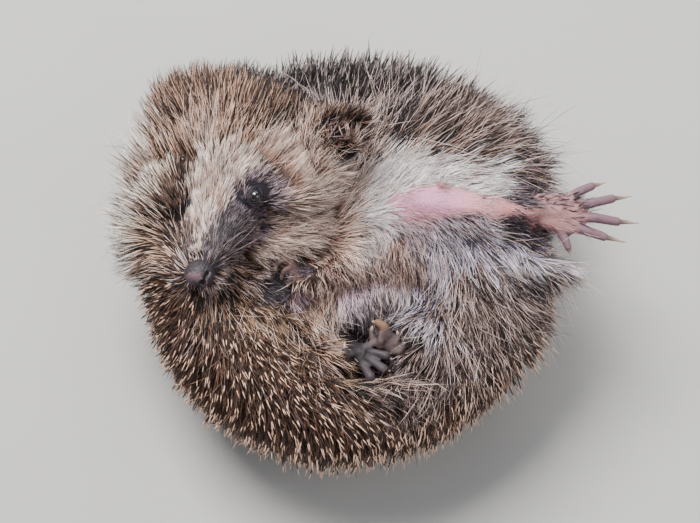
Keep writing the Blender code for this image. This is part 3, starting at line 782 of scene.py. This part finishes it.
guide_places = np.array([guide[:3] for guide in GUIDES], float)
guide_flows = unit(np.array([guide[3:6] for guide in GUIDES], float))
guide_sizes = np.array([guide[7:9] for guide in GUIDES], float)
guide_kinds = np.zeros((len(GUIDES), len(KINDS)))
guide_kinds[range(len(GUIDES)), [kind_names.index(guide[6]) for guide in GUIDES]] = 1
skin_tree = search_tree(skin_places)
guide_normals = skin_normals[[skin_tree.find(place)[1] for place in guide_places]]


def coat_fields(places, normals):
    """The flow, the length and lift, and the share of each kind, at each place."""
    flows, sizes, kinds = [], [], []
    for start in range(0, len(places), BATCH):
        spot, facing = places[start:start + BATCH], normals[start:start + BATCH]
        gap = ((spot[:, None] - guide_places[None]) ** 2).sum(-1)
        alike = np.clip(facing @ guide_normals.T * 0.5 + 0.5, 0.04, 1) ** 3
        weights = alike / (gap + GUIDE_BLUR) ** 2
        weights /= weights.sum(1, keepdims=True)
        flow = weights @ guide_flows
        flow -= facing * (flow * facing).sum(1, keepdims=True)
        flows.append(unit(flow))
        sizes.append(weights @ guide_sizes)
        kinds.append(weights @ guide_kinds)
    return np.concatenate(flows), np.concatenate(sizes), np.concatenate(kinds)


def share_of(*kinds):
    """How much of each place on the skin the kinds take up together."""
    return skin_kinds[:, [kind_names.index(kind) for kind in kinds]].sum(1)


skin_flow, skin_size, skin_kinds = coat_fields(skin_places, skin_normals)
skin_kinds = skin_kinds ** 2
skin_kinds /= skin_kinds.sum(1, keepdims=True)
skin_head = in_head(skin_places)


# The colours of the hide itself: the coat's own, but painted darker where the coat is thick, for the
# shade under the hair; pink on the belly and the outstretched leg, violet round the eye, grey on paws and
# muzzle.
# the three paws in the belly's hollow are painted dark, their own dusky grey darkened by painted shade; the
# outstretched hind foot keeps its own pink
PAW_COLOURS_AND_SHADE = {
    "hind_left_foot": ((158, 116, 114), (112, 86, 98)),
    "hind_right_foot": ((34, 29, 32), (66, 57, 62)),
    "fore_right_foot": ((42, 33, 33), (84, 68, 66)),
    "fore_left_foot": ((40, 31, 30), (88, 64, 60)),
}
# painted shade along the crease under the outstretched leg
FOLD_SHADE = ((30, 4.5, 77), (37, 2.5, 75.5), (44, 0.5, 73), (50, -1.5, 71.5), (57, -2.5, 69), (63, -1.5, 66))
FOLD_SHADE_STEPS = 5


def paint(colours, colour, amount):
    """The colours, turned into one of 0-255 values by the amount."""
    return colours + (linear(colour) - colours) * np.clip(amount, 0, 1)[:, None]


def on_skin(place, inner, outer):
    return near(skin_places, place, inner, outer)


thin = share_of("white", "lilac", "bare", "blaze")
bare = share_of("bare") * 1.3
# painted shade: the hide is darker where the coat is thick and lighter where it is thin
hide = (skin_kinds @ kind_stops[:, 0]) * (0.42 + 0.4 * thin[:, None])
hide = paint(hide, (58, 44, 38), share_of(*SPINES))
hide = paint(hide, (210, 144, 152), bare)
hide = paint(hide, (208, 140, 172), on_skin((16, 12, 76), 6, 22) * bare)
hide = paint(hide, (196, 126, 116), on_skin((60, 8, 72), 6, 22) * bare)
for foot, (palm_colour_and_shade, toe_colour) in PAW_COLOURS_AND_SHADE.items():
    hide = paint(hide, palm_colour_and_shade, paw_share[foot])
    hide = paint(hide, toe_colour, toe_share[foot] * 0.85)
    # painted shade: the ends of the toes round each claw are darkened
    for stations, point in PAWS[foot][1]:
        hide = paint(hide, (60, 48, 50), on_skin(point, 2.0, 4.5) * toe_share[foot] * 0.5)
tan_toe = on_skin((2.5, -29.5, 60), 2.2, 4.0) * toe_share["fore_right_foot"]
hide = paint(hide, (122, 90, 70), tan_toe)
hide = paint(hide, (34, 29, 34), muzzle_share * 0.8)
for side in (1, -1):
    hide = paint(hide, (50, 45, 55), near(skin_head, (0, EYE_SIDE * side, 0), 3.5, 8))
hide = paint(hide, (158, 102, 98), on_skin((24, 15.8, 78), 1.0, 2.4) * 0.8)
# painted shade: a dark band along the crease
for start, end in zip(FOLD_SHADE, FOLD_SHADE[1:]):
    for step in range(FOLD_SHADE_STEPS):
        spot = [a + (b - a) * step / FOLD_SHADE_STEPS for a, b in zip(start, end)]
        hide = paint(hide, (52, 44, 50), on_skin(spot, 1.0, 3.2) * 0.75)


def colour_layer(mesh, name, colours):
    layer = mesh.attributes.new(name, "FLOAT_COLOR", "POINT")
    layer.data.foreach_set("color", np.c_[colours, np.ones(len(colours))].astype(np.float32).ravel())


def skin_material():
    flow, shader, made = new_material("hide", Specular_IOR_Level=0.35)
    colour = flow.attribute("marking", 0)
    grain = flow.noise(900.0)
    blotch = flow.noise(160.0)
    colour = colour.darkened(0.75 + 0.5 * (0.5 * grain + 0.5 * blotch))
    height = 0.6 * flow.noise(380.0, 4.0) + 0.4 * grain
    rough = 0.5 + 0.25 * blotch
    connect(flow, shader, Base_Color=colour, Roughness=rough, Normal=flow.bump(height, 0.0005, 0.7))
    return made


colour_layer(hull, "marking", hide)
skin = new_object("skin", hull, skin_material())
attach(skin, "root")
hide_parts(*flesh)


# The eyes: dark, wet balls with a bulging clear front, each between an upper and a lower lid of
# bare violet skin that close on it in an almond.
EYE = 2.8
LID_RING, LID_THICK = 2.72, 0.62  # radii of the ring that the lids are shaped from
LID_EDGE = 2.5  # from here inwards the lid is wet


def aimed(place, forward, upward):
    """A frame at a place in millimetres, Z along `forward` and Y near `upward`."""
    z = Vector(forward).normalized()
    x = Vector(upward).cross(z).normalized()
    made = Matrix((x, z.cross(x), z)).transposed().to_4x4()
    made.translation = Vector(place) * MM
    return made


def plain(flow, *colours):
    """Even colours, given as 0-255 values, for a mix to start from."""
    made = [flow.node("ShaderNodeRGB") for colour in colours]
    for one, colour in zip(made, colours):
        one.socket.default_value = (*linear(colour), 1.0)
    return made


def eye_material():
    flow, shader, made = new_material("wet_eye", Roughness=0.04, Coat_Weight=1.0, Coat_Roughness=0.02)
    depth = flow.attribute("depth")
    white, iris, pupil = plain(flow, (66, 62, 72), (44, 38, 44), (10, 11, 15))
    colour = white.mixed(depth.between(0.35, 0.5), iris).mixed(depth.between(0.72, 0.82), pupil)
    connect(flow, shader, Base_Color=colour)
    return made


def lid_material():
    flow, shader, made = new_material("lid", Specular_IOR_Level=0.4)
    wet = flow.attribute("wet")
    grain = flow.noise(1500.0)
    dry, rim = plain(flow, (38, 34, 41), (20, 18, 23))
    colour = dry.mixed(wet, rim).darkened(0.75 + 0.5 * grain)
    rough = 0.55 - 0.4 * wet
    connect(flow, shader, Base_Color=colour, Roughness=rough, Normal=flow.bump(grain, 0.0003, 0.6))
    return made


def float_layer(mesh, name, values):
    attribute = mesh.attributes.new(name, "FLOAT", "POINT")
    attribute.data.foreach_set("value", np.asarray(values, np.float32))


wet_eye, lid_skin = eye_material(), lid_material()
for side, name in ((1, "left"), (-1, "right")):
    socket = aimed(eye_places[side] / MM, GAZE[side], from_head(0.1, -0.45 * side, 0.88))
    bm = bmesh.new()
    ball = bmesh.ops.create_uvsphere(bm, u_segments=40, v_segments=24, radius=EYE * MM)["verts"]
    for vertex in ball:
        # the clear front bulges out of the white
        height = vertex.co.z / (EYE * MM)
        vertex.co.z += max(0.0, height - 0.62) * 0.55 * EYE * MM
    heights = [max(0.0, vertex.co.z / (EYE * MM)) for vertex in ball]
    bmesh.ops.transform(bm, matrix=socket, verts=bm.verts)
    mesh = finished(bm)
    float_layer(mesh, "depth", heights)
    eyeball = new_object("eyeball_" + name, mesh, wet_eye)
    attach(eyeball, "root")
    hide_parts("eye_" + name)

    bm = bmesh.new()
    upright = Matrix.Translation((LID_RING * MM, 0, 0)) @ Matrix.Rotation(math.pi / 2, 4, "X")
    profile = bmesh.ops.create_circle(bm, segments=14, radius=LID_THICK * MM, matrix=upright)
    bmesh.ops.spin(bm, geom=profile["verts"] + bm.edges[:], cent=(0, 0, 0), axis=(0, 0, 1),
                   angle=2 * math.pi, steps=48, use_merge=True)
    bmesh.ops.remove_doubles(bm, verts=bm.verts, dist=1e-6)
    bmesh.ops.recalc_face_normals(bm, faces=bm.faces)
    wet = []
    for vertex in bm.verts:
        x, y, z = vertex.co / MM
        radius = math.hypot(x, y)
        wet.append(float(np.clip((LID_EDGE - radius) / 0.3, 0, 1)))
        # an almond, drawn out to its two corners, with folds that fade outwards
        corner = abs(x) / max(radius, 1e-6)
        squeeze, rise = (0.86, 0.85) if y < 0 else (0.90, 1.05)
        wrinkle = 0.10 * math.sin(radius * 9.0) * (radius > 2.8)
        height = z * rise + 1.05 + wrinkle - 0.5 * corner ** 3
        vertex.co = Vector((x * (1 + 0.20 * corner ** 4), y * squeeze, height)) * MM
    bmesh.ops.transform(bm, matrix=socket, verts=bm.verts)
    mesh = finished(bm)
    float_layer(mesh, "wet", wet)
    lids = new_object("lids_" + name, mesh, lid_skin)
    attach(lids, "root")


# The nose: a moist, pebbled pad with a groove down its middle and two comma-shaped nostrils
# that open to the sides. It is a ball, flattened in front, with the nostrils pressed in.
NOSTRIL = ((2.2, 0.4, 4.3), (3.2, 1.6, 3.5), (4.1, 2.5, 2.0), (4.6, 2.4, 0.4))
PAD = (5.6, 5.9, 5.5)
PAD_FRONT = 2.6  # the ball is flattened from here on
NOSTRIL_DEPTH, GROOVE_DEPTH = 1.9, 0.45
nose_frame = aimed(nose_place / MM + from_head(-0.5, 0.8, -2.0), head_front, head_up)
bm = bmesh.new()
bmesh.ops.create_icosphere(bm, subdivisions=5, radius=1.0)
hollow = []
for vertex in bm.verts:
    out = vertex.co.copy()
    place = Vector((out.x * PAD[0], out.y * PAD[1], out.z * PAD[2]))
    if place.z > PAD_FRONT:
        place.z = PAD_FRONT + (place.z - PAD_FRONT) * 0.55
    place.y += 0.1 * place.z
    pit = 0.0
    for side in (1, -1):
        for start, end in zip(NOSTRIL, NOSTRIL[1:]):
            a = Vector((start[0] * side, start[1], start[2] * 0.85))
            b = Vector((end[0] * side, end[1], end[2] * 0.85))
            t = min(1, max(0, (place - a).dot(b - a) / (b - a).length_squared))
            gap = (place - a.lerp(b, t)).length
            width = 1.35 if start is NOSTRIL[0] else 1.1
            pit = max(pit, 1 - min(1, gap / width) ** 2)
    groove = math.exp(-(place.x / 0.35) ** 2) * (place.z > 0.5) * (1 if place.y < 2.6 else 0.2)
    hollow.append(min(1.0, pit * 1.3))
    vertex.co = (place - out * (NOSTRIL_DEPTH * pit + GROOVE_DEPTH * groove)) * MM
bmesh.ops.transform(bm, matrix=nose_frame, verts=bm.verts)
mesh = finished(bm)
float_layer(mesh, "hollow", hollow)
_, nose_facing = arrays(mesh)
# how far each point faces one fixed way, up and forward, where the pink highlight is painted
float_layer(mesh, "front", np.clip(nose_facing @ np.array(from_head(0.72, 0.22, 0.66)), 0, 1))


def nose_material():
    flow, shader, made = new_material("moist_nose", Coat_Weight=0.15, Coat_Roughness=0.35)
    pebbles = flow.node("ShaderNodeTexVoronoi", None, {"Vector": flow.place(), "Scale": 1500.0})
    dark, pink, black = plain(flow, (42, 35, 40), (136, 102, 114), (22, 17, 20))
    # a painted pink highlight on the part of the pad that faces that way
    colour = dark.mixed(flow.attribute("front").between(0.7, 1.0) * 0.85, pink)
    # painted shade: the nostril pits are near black
    colour = colour.mixed(flow.attribute("hollow").between(0.15, 0.6), black)
    colour = colour.darkened(0.7 + 0.5 * flow.noise(500.0))
    rough = 0.42 + 0.25 * pebbles
    connect(flow, shader, Base_Color=colour, Roughness=rough, Normal=flow.bump(pebbles, 0.0004, 0.8))
    return made


rhinarium = new_object("rhinarium", mesh, nose_material())
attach(rhinarium, "root")
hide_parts("nose")


# The ears: thin, round cups of bare skin, painted dark inside for the shade in the cup, standing out of the
# fur behind the cheeks. Each is a ball pressed to a wall's thickness and bent into a cup with a few folds.
EAR_HEIGHT, EAR_WIDTH, EAR_DEPTH, EAR_WALL = 7.4, 6.2, 3.2, 0.75


def ear_material():
    flow, shader, made = new_material("ear_skin", Roughness=0.6)
    grain = flow.noise(700.0, 4.0)
    back, cup, edge = plain(flow, (92, 80, 82), (48, 40, 42), (108, 96, 102))
    # painted shade: the inside of the cup is darker than its back
    colour = back.mixed(flow.attribute("inside"), cup).mixed(flow.attribute("rim"), edge)
    colour = colour.darkened(0.7 + 0.6 * grain)
    connect(flow, shader, Base_Color=colour, Normal=flow.bump(grain, 0.0005, 0.8))
    return made


ear_skin = ear_material()
ear_places = []
for side, name in ((1, "left"), (-1, "right")):
    facing = from_head(0.80, 0.42 * side, 0.40)
    tip_way = from_head(-0.42, 0.86 * side, -0.18)
    ear_frame = aimed(centre_of("ear_" + name) / MM + facing * 1.6, facing, tip_way)
    ear_places.append(np.array(ear_frame.translation) / MM - np.array(tip_way) * 2)
    bm = bmesh.new()
    bmesh.ops.create_uvsphere(bm, u_segments=56, v_segments=36, radius=1.0)
    inside, rims = [], []
    for vertex in bm.verts:
        x, y, z = vertex.co
        out = min(1.0, math.hypot(x, y))
        round_way = math.atan2(y, x)
        wall = EAR_WALL * math.sqrt(max(0.0, 1 - out ** 4)) * (0.5 if z > 0 else -0.5)
        cup = -EAR_DEPTH * (1 - out ** 2.2) + 1.1 * out ** 8
        fold = 0.35 * math.sin(5 * round_way + 0.6) * out ** 2 + 0.25 * math.sin(9 * round_way) * out ** 4
        pinch = 1 - 0.22 * max(0.0, -y)
        inside.append(float(z > 0.02))
        rims.append(float(np.clip((out - 0.9) / 0.08, 0, 1)))
        vertex.co = Vector((x * EAR_WIDTH * pinch, y * EAR_HEIGHT, cup + wall + fold)) * MM
    bmesh.ops.transform(bm, matrix=ear_frame, verts=bm.verts)
    mesh = finished(bm)
    float_layer(mesh, "inside", inside)
    float_layer(mesh, "rim", rims)
    ear = new_object("pinna_" + name, mesh, ear_skin)
    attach(ear, "root")


# The claws: slim horn sickles, dusky at the root and pale at the tip, one on every toe. Each is
# drawn out of a round bar that thins towards its point and bends down.
CLAW_THICK = {foot: 1.0 if foot == "hind_left_foot" else 0.9 for foot in FEET}


def claw_material():
    flow, shader, made = new_material("claw_horn", Roughness=0.35)
    foot, tip = plain(flow, (112, 88, 82), (192, 170, 150))
    streak = flow.noise(1200.0)
    colour = foot.mixed(flow.attribute("along").between(0.1, 0.8), tip).darkened(0.75 + 0.5 * streak)
    connect(flow, shader, Base_Color=colour, Normal=flow.bump(streak, 0.0001, 0.4))
    return made


horn = claw_material()
for foot in FEET:
    bm, lengths = bmesh.new(), []
    for toe in range(1, 6):
        root, along, length = toe_tips[foot, toe]
        down = Vector((0.1, 0.3, -0.9))
        down = (down - along * down.dot(along)).normalized()
        axes = Matrix((along, along.cross(down), down)).transposed().to_4x4()
        axes.translation = root
        one = bmesh.new()
        lying = Matrix.Translation((0.5, 0, 0)) @ Matrix.Rotation(math.pi / 2, 4, "Y")
        bmesh.ops.create_cone(one, segments=12, radius1=1.0, radius2=1.0, depth=1.0,
                              cap_ends=True, matrix=lying)
        long_edges = [edge for edge in one.edges if abs(edge.verts[0].co.x - edge.verts[1].co.x) > 0.5]
        bmesh.ops.subdivide_edges(one, edges=long_edges, cuts=7)
        for vertex in one.verts:
            t, across, up = vertex.co
            lengths.append(t)
            thick = CLAW_THICK[foot] * (1.02 - t) ** 0.7 * MM
            vertex.co = Vector((t * length, across * thick, up * thick + 0.2 * length * t * (t - 0.4)))
        bmesh.ops.transform(one, matrix=axes, verts=one.verts)
        bmesh.ops.recalc_face_normals(one, faces=one.faces)
        mesh = finished(one)
        bm.from_mesh(mesh)
        bpy.data.meshes.remove(mesh)
    mesh = finished(bm)
    float_layer(mesh, "along", lengths)
    claws = new_object("claws_" + foot, mesh, horn)
    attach(claws, "root")
    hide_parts(*(f"claw_{foot}_{toe}" for toe in range(1, 6)))


# A flattened map of the hide, island by island. Each strand
# has a small patch of the map of its own, where its root stands.
PROXY_SHARE = 0.06  # of the hide's triangles are enough for the map
PATCH = 0.003
proxy = bpy.data.objects.new("proxy", settled(hull.copy(), ("DECIMATE", {"ratio": PROXY_SHARE})))
scene.collection.objects.link(proxy)
bpy.context.view_layer.objects.active = proxy
proxy.select_set(True)
bpy.ops.object.mode_set(mode="EDIT")
bpy.ops.mesh.select_all(action="SELECT")
bpy.ops.uv.smart_project(angle_limit=math.radians(66), island_margin=0.004)
bpy.ops.object.mode_set(mode="OBJECT")
flat = bmesh.new()
flat.from_mesh(proxy.data)
flat.faces.ensure_lookup_table()
flat_layer = flat.loops.layers.uv.active
flat_tree = BVHTree.FromBMesh(flat)
flat_corners = [
    [(Vector(loop.vert.co), Vector((*loop[flat_layer].uv, 0))) for loop in face.loops][:3]
    for face in flat.faces
]
bpy.data.objects.remove(proxy)


def on_map(places):
    """Where places on the hide lie on its flattened map."""
    found = []
    for place in places:
        spot, _, face, _ = flat_tree.find_nearest(Vector(place) * MM)
        (a, ua), (b, ub), (c, uc) = flat_corners[face]
        found.append(barycentric_transform(spot, a, b, c, ua, ub, uc)[:2])
    return np.clip(np.array(found), 0.002, 0.998)


# The strands: every hair is a slim three-sided spike, every spine a stouter four-sided one with
# its dark band. They are rooted a little below the skin, curve as they rise and gather in locks.
HAIR = ((0.0, 0.85), (0.35, 1.0), (0.72, 0.7), (1.0, 0.0))  # (how far along, how thick)
SPINE = ((0.0, 0.7), (0.3, 1.0), (0.7, 0.82), (0.9, 0.45), (1.0, 0.0))
COAT_TOP = (cad_box[1][2] + 0.004) / MM  # hairs that would stand above this stay shorter
SHORTER = 0.65
ROOT_DEPTH = 0.4
FLOOR_GAP = 0.15  # no strand comes nearer to the floor
ROOT_SHADE = 0.5  # hair is darker at the root, where no light gets in
MID_HAIR = 0.35  # how far along a hair its middle colour lies
MID_TO_TIP = 0.37  # from there to where it has its tip colour
LEAST_GAP = 1.75  # square millimetres between the roots of two spines
CELL = 2.0
AROUND = [(x, y, z) for x in (-1, 0, 1) for y in (-1, 0, 1) for z in (-1, 0, 1)]


def strand_material(name, band=False, roughness=0.5):
    flow, shader, made = new_material(name, Specular_IOR_Level=0.35)
    along = flow.attribute("along")
    tone = flow.attribute("tone")
    colour = flow.attribute("hue", 0)
    if band:
        dark = colour
        start, stop, end = 0.24 + 0.12 * tone, 0.64 + 0.16 * tone, 0.955
        colour = flow.attribute("root_hue", 0).mixed(along.between(start, start + 0.09), dark)
        colour = colour.mixed(along.between(stop, stop + 0.07), flow.attribute("tip_hue", 0))
        colour = colour.mixed(0.55 * along.between(end, end + 0.04), dark)
    streak = flow.noise(1400.0, 2.0)
    colour = colour.darkened((0.78 + 0.3 * tone) * (0.86 + 0.28 * streak))
    rough = roughness + 0.15 * streak
    connect(flow, shader, Base_Color=colour, Roughness=rough, Normal=flow.bump(streak, 0.0001, 0.4))
    return made


def spaced(places):
    """Which places to keep, so that no two spines stand closer than about 1.3 millimetres."""
    taken, keep = {}, []
    for index in np.random.default_rng(3).permutation(len(places)):
        place = places[index]
        i, j, k = (place // CELL).astype(int)
        others = (other for x, y, z in AROUND for other in taken.get((i + x, j + y, k + z), ()))
        if all(((places[other] - place) ** 2).sum() >= LEAST_GAP for other in others):
            taken.setdefault((i, j, k), []).append(index)
            keep.append(index)
    return np.array(keep)


def spike_faces(shape, sides):
    """The triangles of one spike, whose rings of corners end in its point."""
    faces = []
    for ring in range(len(shape) - 2):
        for index in range(sides):
            a, b = ring * sides + index, ring * sides + (index + 1) % sides
            faces += [(a, b, b + sides), (a, b + sides, a + sides)]
    tip = (len(shape) - 1) * sides
    faces += [(tip - sides + index, tip - sides + (index + 1) % sides, tip) for index in range(sides)]
    return np.array(faces)


def joined_mesh(name, points, triangles):
    """A mesh of triangles between points in millimetres."""
    mesh = bpy.data.meshes.new(name)
    mesh.vertices.add(len(points))
    mesh.vertices.foreach_set("co", (points * MM).astype(np.float32).ravel())
    mesh.loops.add(len(triangles) * 3)
    mesh.loops.foreach_set("vertex_index", triangles.astype(np.int32).ravel())
    mesh.polygons.add(len(triangles))
    mesh.polygons.foreach_set("loop_start", np.arange(0, len(triangles) * 3, 3, dtype=np.int32))
    mesh.update(calc_edges=True)
    return mesh


def coat_piece(name, kinds, material, region, seed, shape=HAIR, sides=3, jitter=9, clump=0.0, share=1.0,
               length_scale=1.0, width_scale=1.0, bend=0.35, rise=0, tint=None):
    """One joined mesh with every strand of the given kinds in a region of the skin."""
    dice = np.random.default_rng(seed)
    picked = [kind_names.index(kind) for kind in kinds]

    # the roots, spread over the skin's triangles
    density = (skin_kinds[:, picked] * kind_density[picked]).sum(1) * region * share
    faces = np.empty(len(hull.polygons) * 3, np.int32)
    hull.polygons.foreach_get("vertices", faces)
    faces = faces.reshape(-1, 3)
    corners = skin_places[faces]
    area = np.linalg.norm(np.cross(corners[:, 1] - corners[:, 0], corners[:, 2] - corners[:, 0]), axis=1) / 2
    expected = area * density[faces].mean(1)
    amount = int(expected.sum())
    total = np.cumsum(expected)
    chosen = np.searchsorted(total, (np.arange(amount) + dice.random(amount)) / amount * total[-1])
    a, b = dice.random(amount), dice.random(amount)
    a, b = np.where(a + b > 1, 1 - a, a), np.where(a + b > 1, 1 - b, b)
    mix = np.stack((1 - a - b, a, b), 1)[:, :, None]
    ids = faces[np.minimum(chosen, len(faces) - 1)]
    if shape is SPINE:
        keep = spaced((skin_places[ids] * mix).sum(1))
        ids, mix = ids[keep], mix[keep]
        amount = len(ids)

    def field(values):
        return (values[ids] * mix).sum(1)

    root, normal = field(skin_places), unit(field(skin_normals))
    flow, size = unit(field(skin_flow)), field(skin_size)
    shares = field(skin_kinds)[:, picked] * kind_density[picked]
    shares = np.cumsum(shares / shares.sum(1, keepdims=True), 1)
    choice = (dice.random(amount)[:, None] > shares).sum(1)
    kind = np.array(picked)[np.minimum(choice, len(picked) - 1)]

    # the way each strand starts off, its size and its curve
    turn = np.radians(dice.normal(0, jitter, amount))[:, None]
    flow = flow * np.cos(turn) + np.cross(normal, flow) * np.sin(turn)
    lift = np.radians(np.clip(size[:, 1] + rise + dice.normal(0, 5, amount), 3, 80))[:, None]
    start = flow * np.cos(lift) + normal * np.sin(lift)
    length = size[:, 0] * dice.uniform(0.78, 1.18, amount) * length_scale
    width = kind_width[kind] * dice.uniform(0.75, 1.2, amount) * width_scale
    width = width * np.clip(length / 5, 0.45, 1)
    curl = unit(dice.normal(0, 1, (amount, 3)))
    curve = (curl * 0.35 - normal * np.sin(lift) * 0.9) * bend
    root = root - normal * ROOT_DEPTH
    high = root[:, 2] + start[:, 2] * length > COAT_TOP
    length = np.where(high, length * SHORTER, length)

    # locks of about eight strands lean together and share a tone
    lock_tone = np.ones(amount)
    if clump:
        leaders = dice.permutation(amount)[:max(1, int(amount / 8))]
        locks = search_tree(root[leaders])
        owner = np.array([locks.find(place)[1] for place in root])
        lock_tone = dice.uniform(0.62, 1.15, len(leaders))[owner]
        ends = root + (start + curve) * length[:, None]
        pull = (ends[leaders[owner]] - ends) * clump
        far = np.linalg.norm(pull, axis=1, keepdims=True)
        pull = pull * np.minimum(1, 0.35 * length[:, None] / np.maximum(far, 1e-6))
        curve = curve + pull / length[:, None]

    # the rings of corners up each strand, then its point
    rings = []
    for along, thick in shape:
        centre = root + (start * along + curve * along ** 2) * length[:, None]
        tangent = unit(start + 2 * curve * along)
        across = unit(np.cross(tangent, normal))
        above = np.cross(across, tangent)
        if thick == 0.0:
            rings.append(centre[:, None])
            continue
        reach = (width * thick / 2)[:, None]
        angles = [2 * math.pi * index / sides for index in range(sides)]
        corners = [centre + (across * math.cos(angle) + above * math.sin(angle)) * reach for angle in angles]
        rings.append(np.stack(corners, 1))
    points = np.concatenate(rings, 1)
    points[:, :, 2] = np.maximum(points[:, :, 2], FLOOR_GAP)
    per = points.shape[1]
    triangles = spike_faces(shape, sides)[None] + (np.arange(amount) * per)[:, None, None]
    triangles = triangles.reshape(-1, 3)
    mesh = joined_mesh(name, points.reshape(-1, 3), triangles)

    along = np.concatenate([[place] * (1 if thick == 0 else sides) for place, thick in shape])
    cross = np.concatenate([[0.5] if thick == 0 else np.arange(sides) / (sides - 1) for _, thick in shape])
    uv = np.empty((amount, per, 2))
    uv[:] = on_map(root)[:, None] + (np.stack((cross, along), 1) - 0.5) * PATCH
    layer = mesh.uv_layers.new(name="OFBake")
    layer.data.foreach_set("uv", uv.reshape(-1, 2)[triangles.ravel()].astype(np.float32).ravel())

    # the colours from root to tip, with some strands dark all along, partly the coat's own and partly
    # painted shade between the locks
    if tint:
        kind = np.full(amount, kind_names.index(tint))
    stops = kind_stops[kind]
    dark = dice.random(amount) < kind_dark[kind]
    shade = np.where(dark, dice.uniform(0.14, 0.42, amount) ** 2, 1.0)[:, None, None]
    stops = stops * shade * lock_tone[:, None, None]
    if shape is SPINE:
        hue = np.repeat(stops[:, 1], per, 0)
        colour_layer(mesh, "root_hue", np.repeat(stops[:, 0], per, 0))
        colour_layer(mesh, "tip_hue", np.repeat(stops[:, 2], per, 0))
    else:
        foot, middle, tip = (stops[:, None, index] for index in range(3))
        foot = foot * ROOT_SHADE
        place = along[None, :, None]
        lower = foot + (middle - foot) * np.clip(place / MID_HAIR, 0, 1)
        hue = lower + (tip - lower) * np.clip((place - MID_HAIR) / MID_TO_TIP, 0, 1)
    colour_layer(mesh, "hue", hue.reshape(-1, 3))
    float_layer(mesh, "along", np.tile(along, amount))
    float_layer(mesh, "tone", np.repeat(dice.random(amount), per))
    piece = new_object(name, mesh, material)
    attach(piece, "root")


# The coat on the head: a pale blaze up the forehead, crown and cheeks, the short dark mask with a
# few long whiskers on its pads, and the ruff. The eyes and the cups of the ears stay clear.
hair = strand_material("hair")
fine_hair = strand_material("fine_hair", roughness=0.6)
hairy = 1 - np.max(list(paw_share.values()), 0)
hairy += 0.2 * (paw_share["hind_left_foot"] - toe_share["hind_left_foot"]).clip(0, 1)
for side in (1, -1):
    hairy = hairy * (1 - on_skin(np.array(eye_places[side]) / MM, 3.0, 3.9))
for ear_place in ear_places:
    hairy = hairy * (1 - on_skin(ear_place, 1.5, 3.0))
pads = [near(skin_head, (NOSE - 9, 4.5 * side, -3.5), 2.5, 5.5) for side in (1, -1)]
coat_piece("coat_face", ("mask", "smoke", "chin"), fine_hair, hairy, 1)
coat_piece("coat_whiskers", ("mask", "smoke", "chin", "blaze"), hair,
           hairy * np.max(pads, 0), 13, jitter=24, share=0.1, length_scale=5.2, width_scale=0.8,
           bend=0.5, rise=24, tint="wisp")
coat_piece("coat_crown", ("blaze", "cream", "cheek"), hair, hairy, 2, clump=0.65)
coat_piece("coat_ruff", ("ruff", "ruffpale", "crown", "shadow"), hair, hairy, 3, clump=0.55)


# The coat on belly, flanks and legs: soft, longish hair in locks, pale on the belly and greyer
# outwards, with long fine wisps that stand out of it except over the hollow.
pale_places = 1 - np.clip(3 * share_of("blackquill"), 0, 1)
coat_piece("coat_belly", ("white", "lilac", "beige", "fawn", "bluewhite"), hair, hairy, 4,
           jitter=14, clump=0.6, width_scale=0.86, bend=0.6)
coat_piece("coat_flank", ("flank", "flankgrey", "flankpale", "skirt", "golden"), hair, hairy, 5,
           jitter=13, clump=0.65, width_scale=0.88, bend=0.55)
wispy = ("cheek", "beige", "fawn", "lilac", "white", "bluewhite", "flank", "flankgrey", "flankpale",
         "skirt", "golden", "ruffpale", "cream")
coat_piece("coat_wisps", wispy, hair, hairy * (1 - on_skin(HOLLOW, 14, 20)) * pale_places, 10,
           jitter=24, share=0.16, length_scale=1.45, width_scale=0.55, bend=0.85, tint="wisp")
coat_piece("coat_legs", ("legdark", "hollow", "bare"), fine_hair, hairy, 6, jitter=14)


# The spines of the back and the rim, pale with a dark band and a pale tip, or nearly black at the
# top, and the thin dull hair that grows between them.
spines = strand_material("spine", band=True, roughness=0.38)
right_half = (skin_places[:, 1] < -2).astype(float)
for name, half, seed in (("right", right_half, 7), ("left", 1 - right_half, 8)):
    coat_piece("coat_spines_" + name, SPINES, spines, half, seed, SPINE, 4,
               jitter=13, bend=0.15)
for name, kind, region, seed, tint in (
    ("right", "quill", right_half, 9, "under"),
    ("left", "quill", 1 - right_half, 11, "under"),
    ("dark", "blackquill", 1.0, 12, "underdark"),
):
    coat_piece("coat_under_" + name, (kind,), hair, region, seed, jitter=22, share=0.9,
               length_scale=0.95, width_scale=0.44, tint=tint)
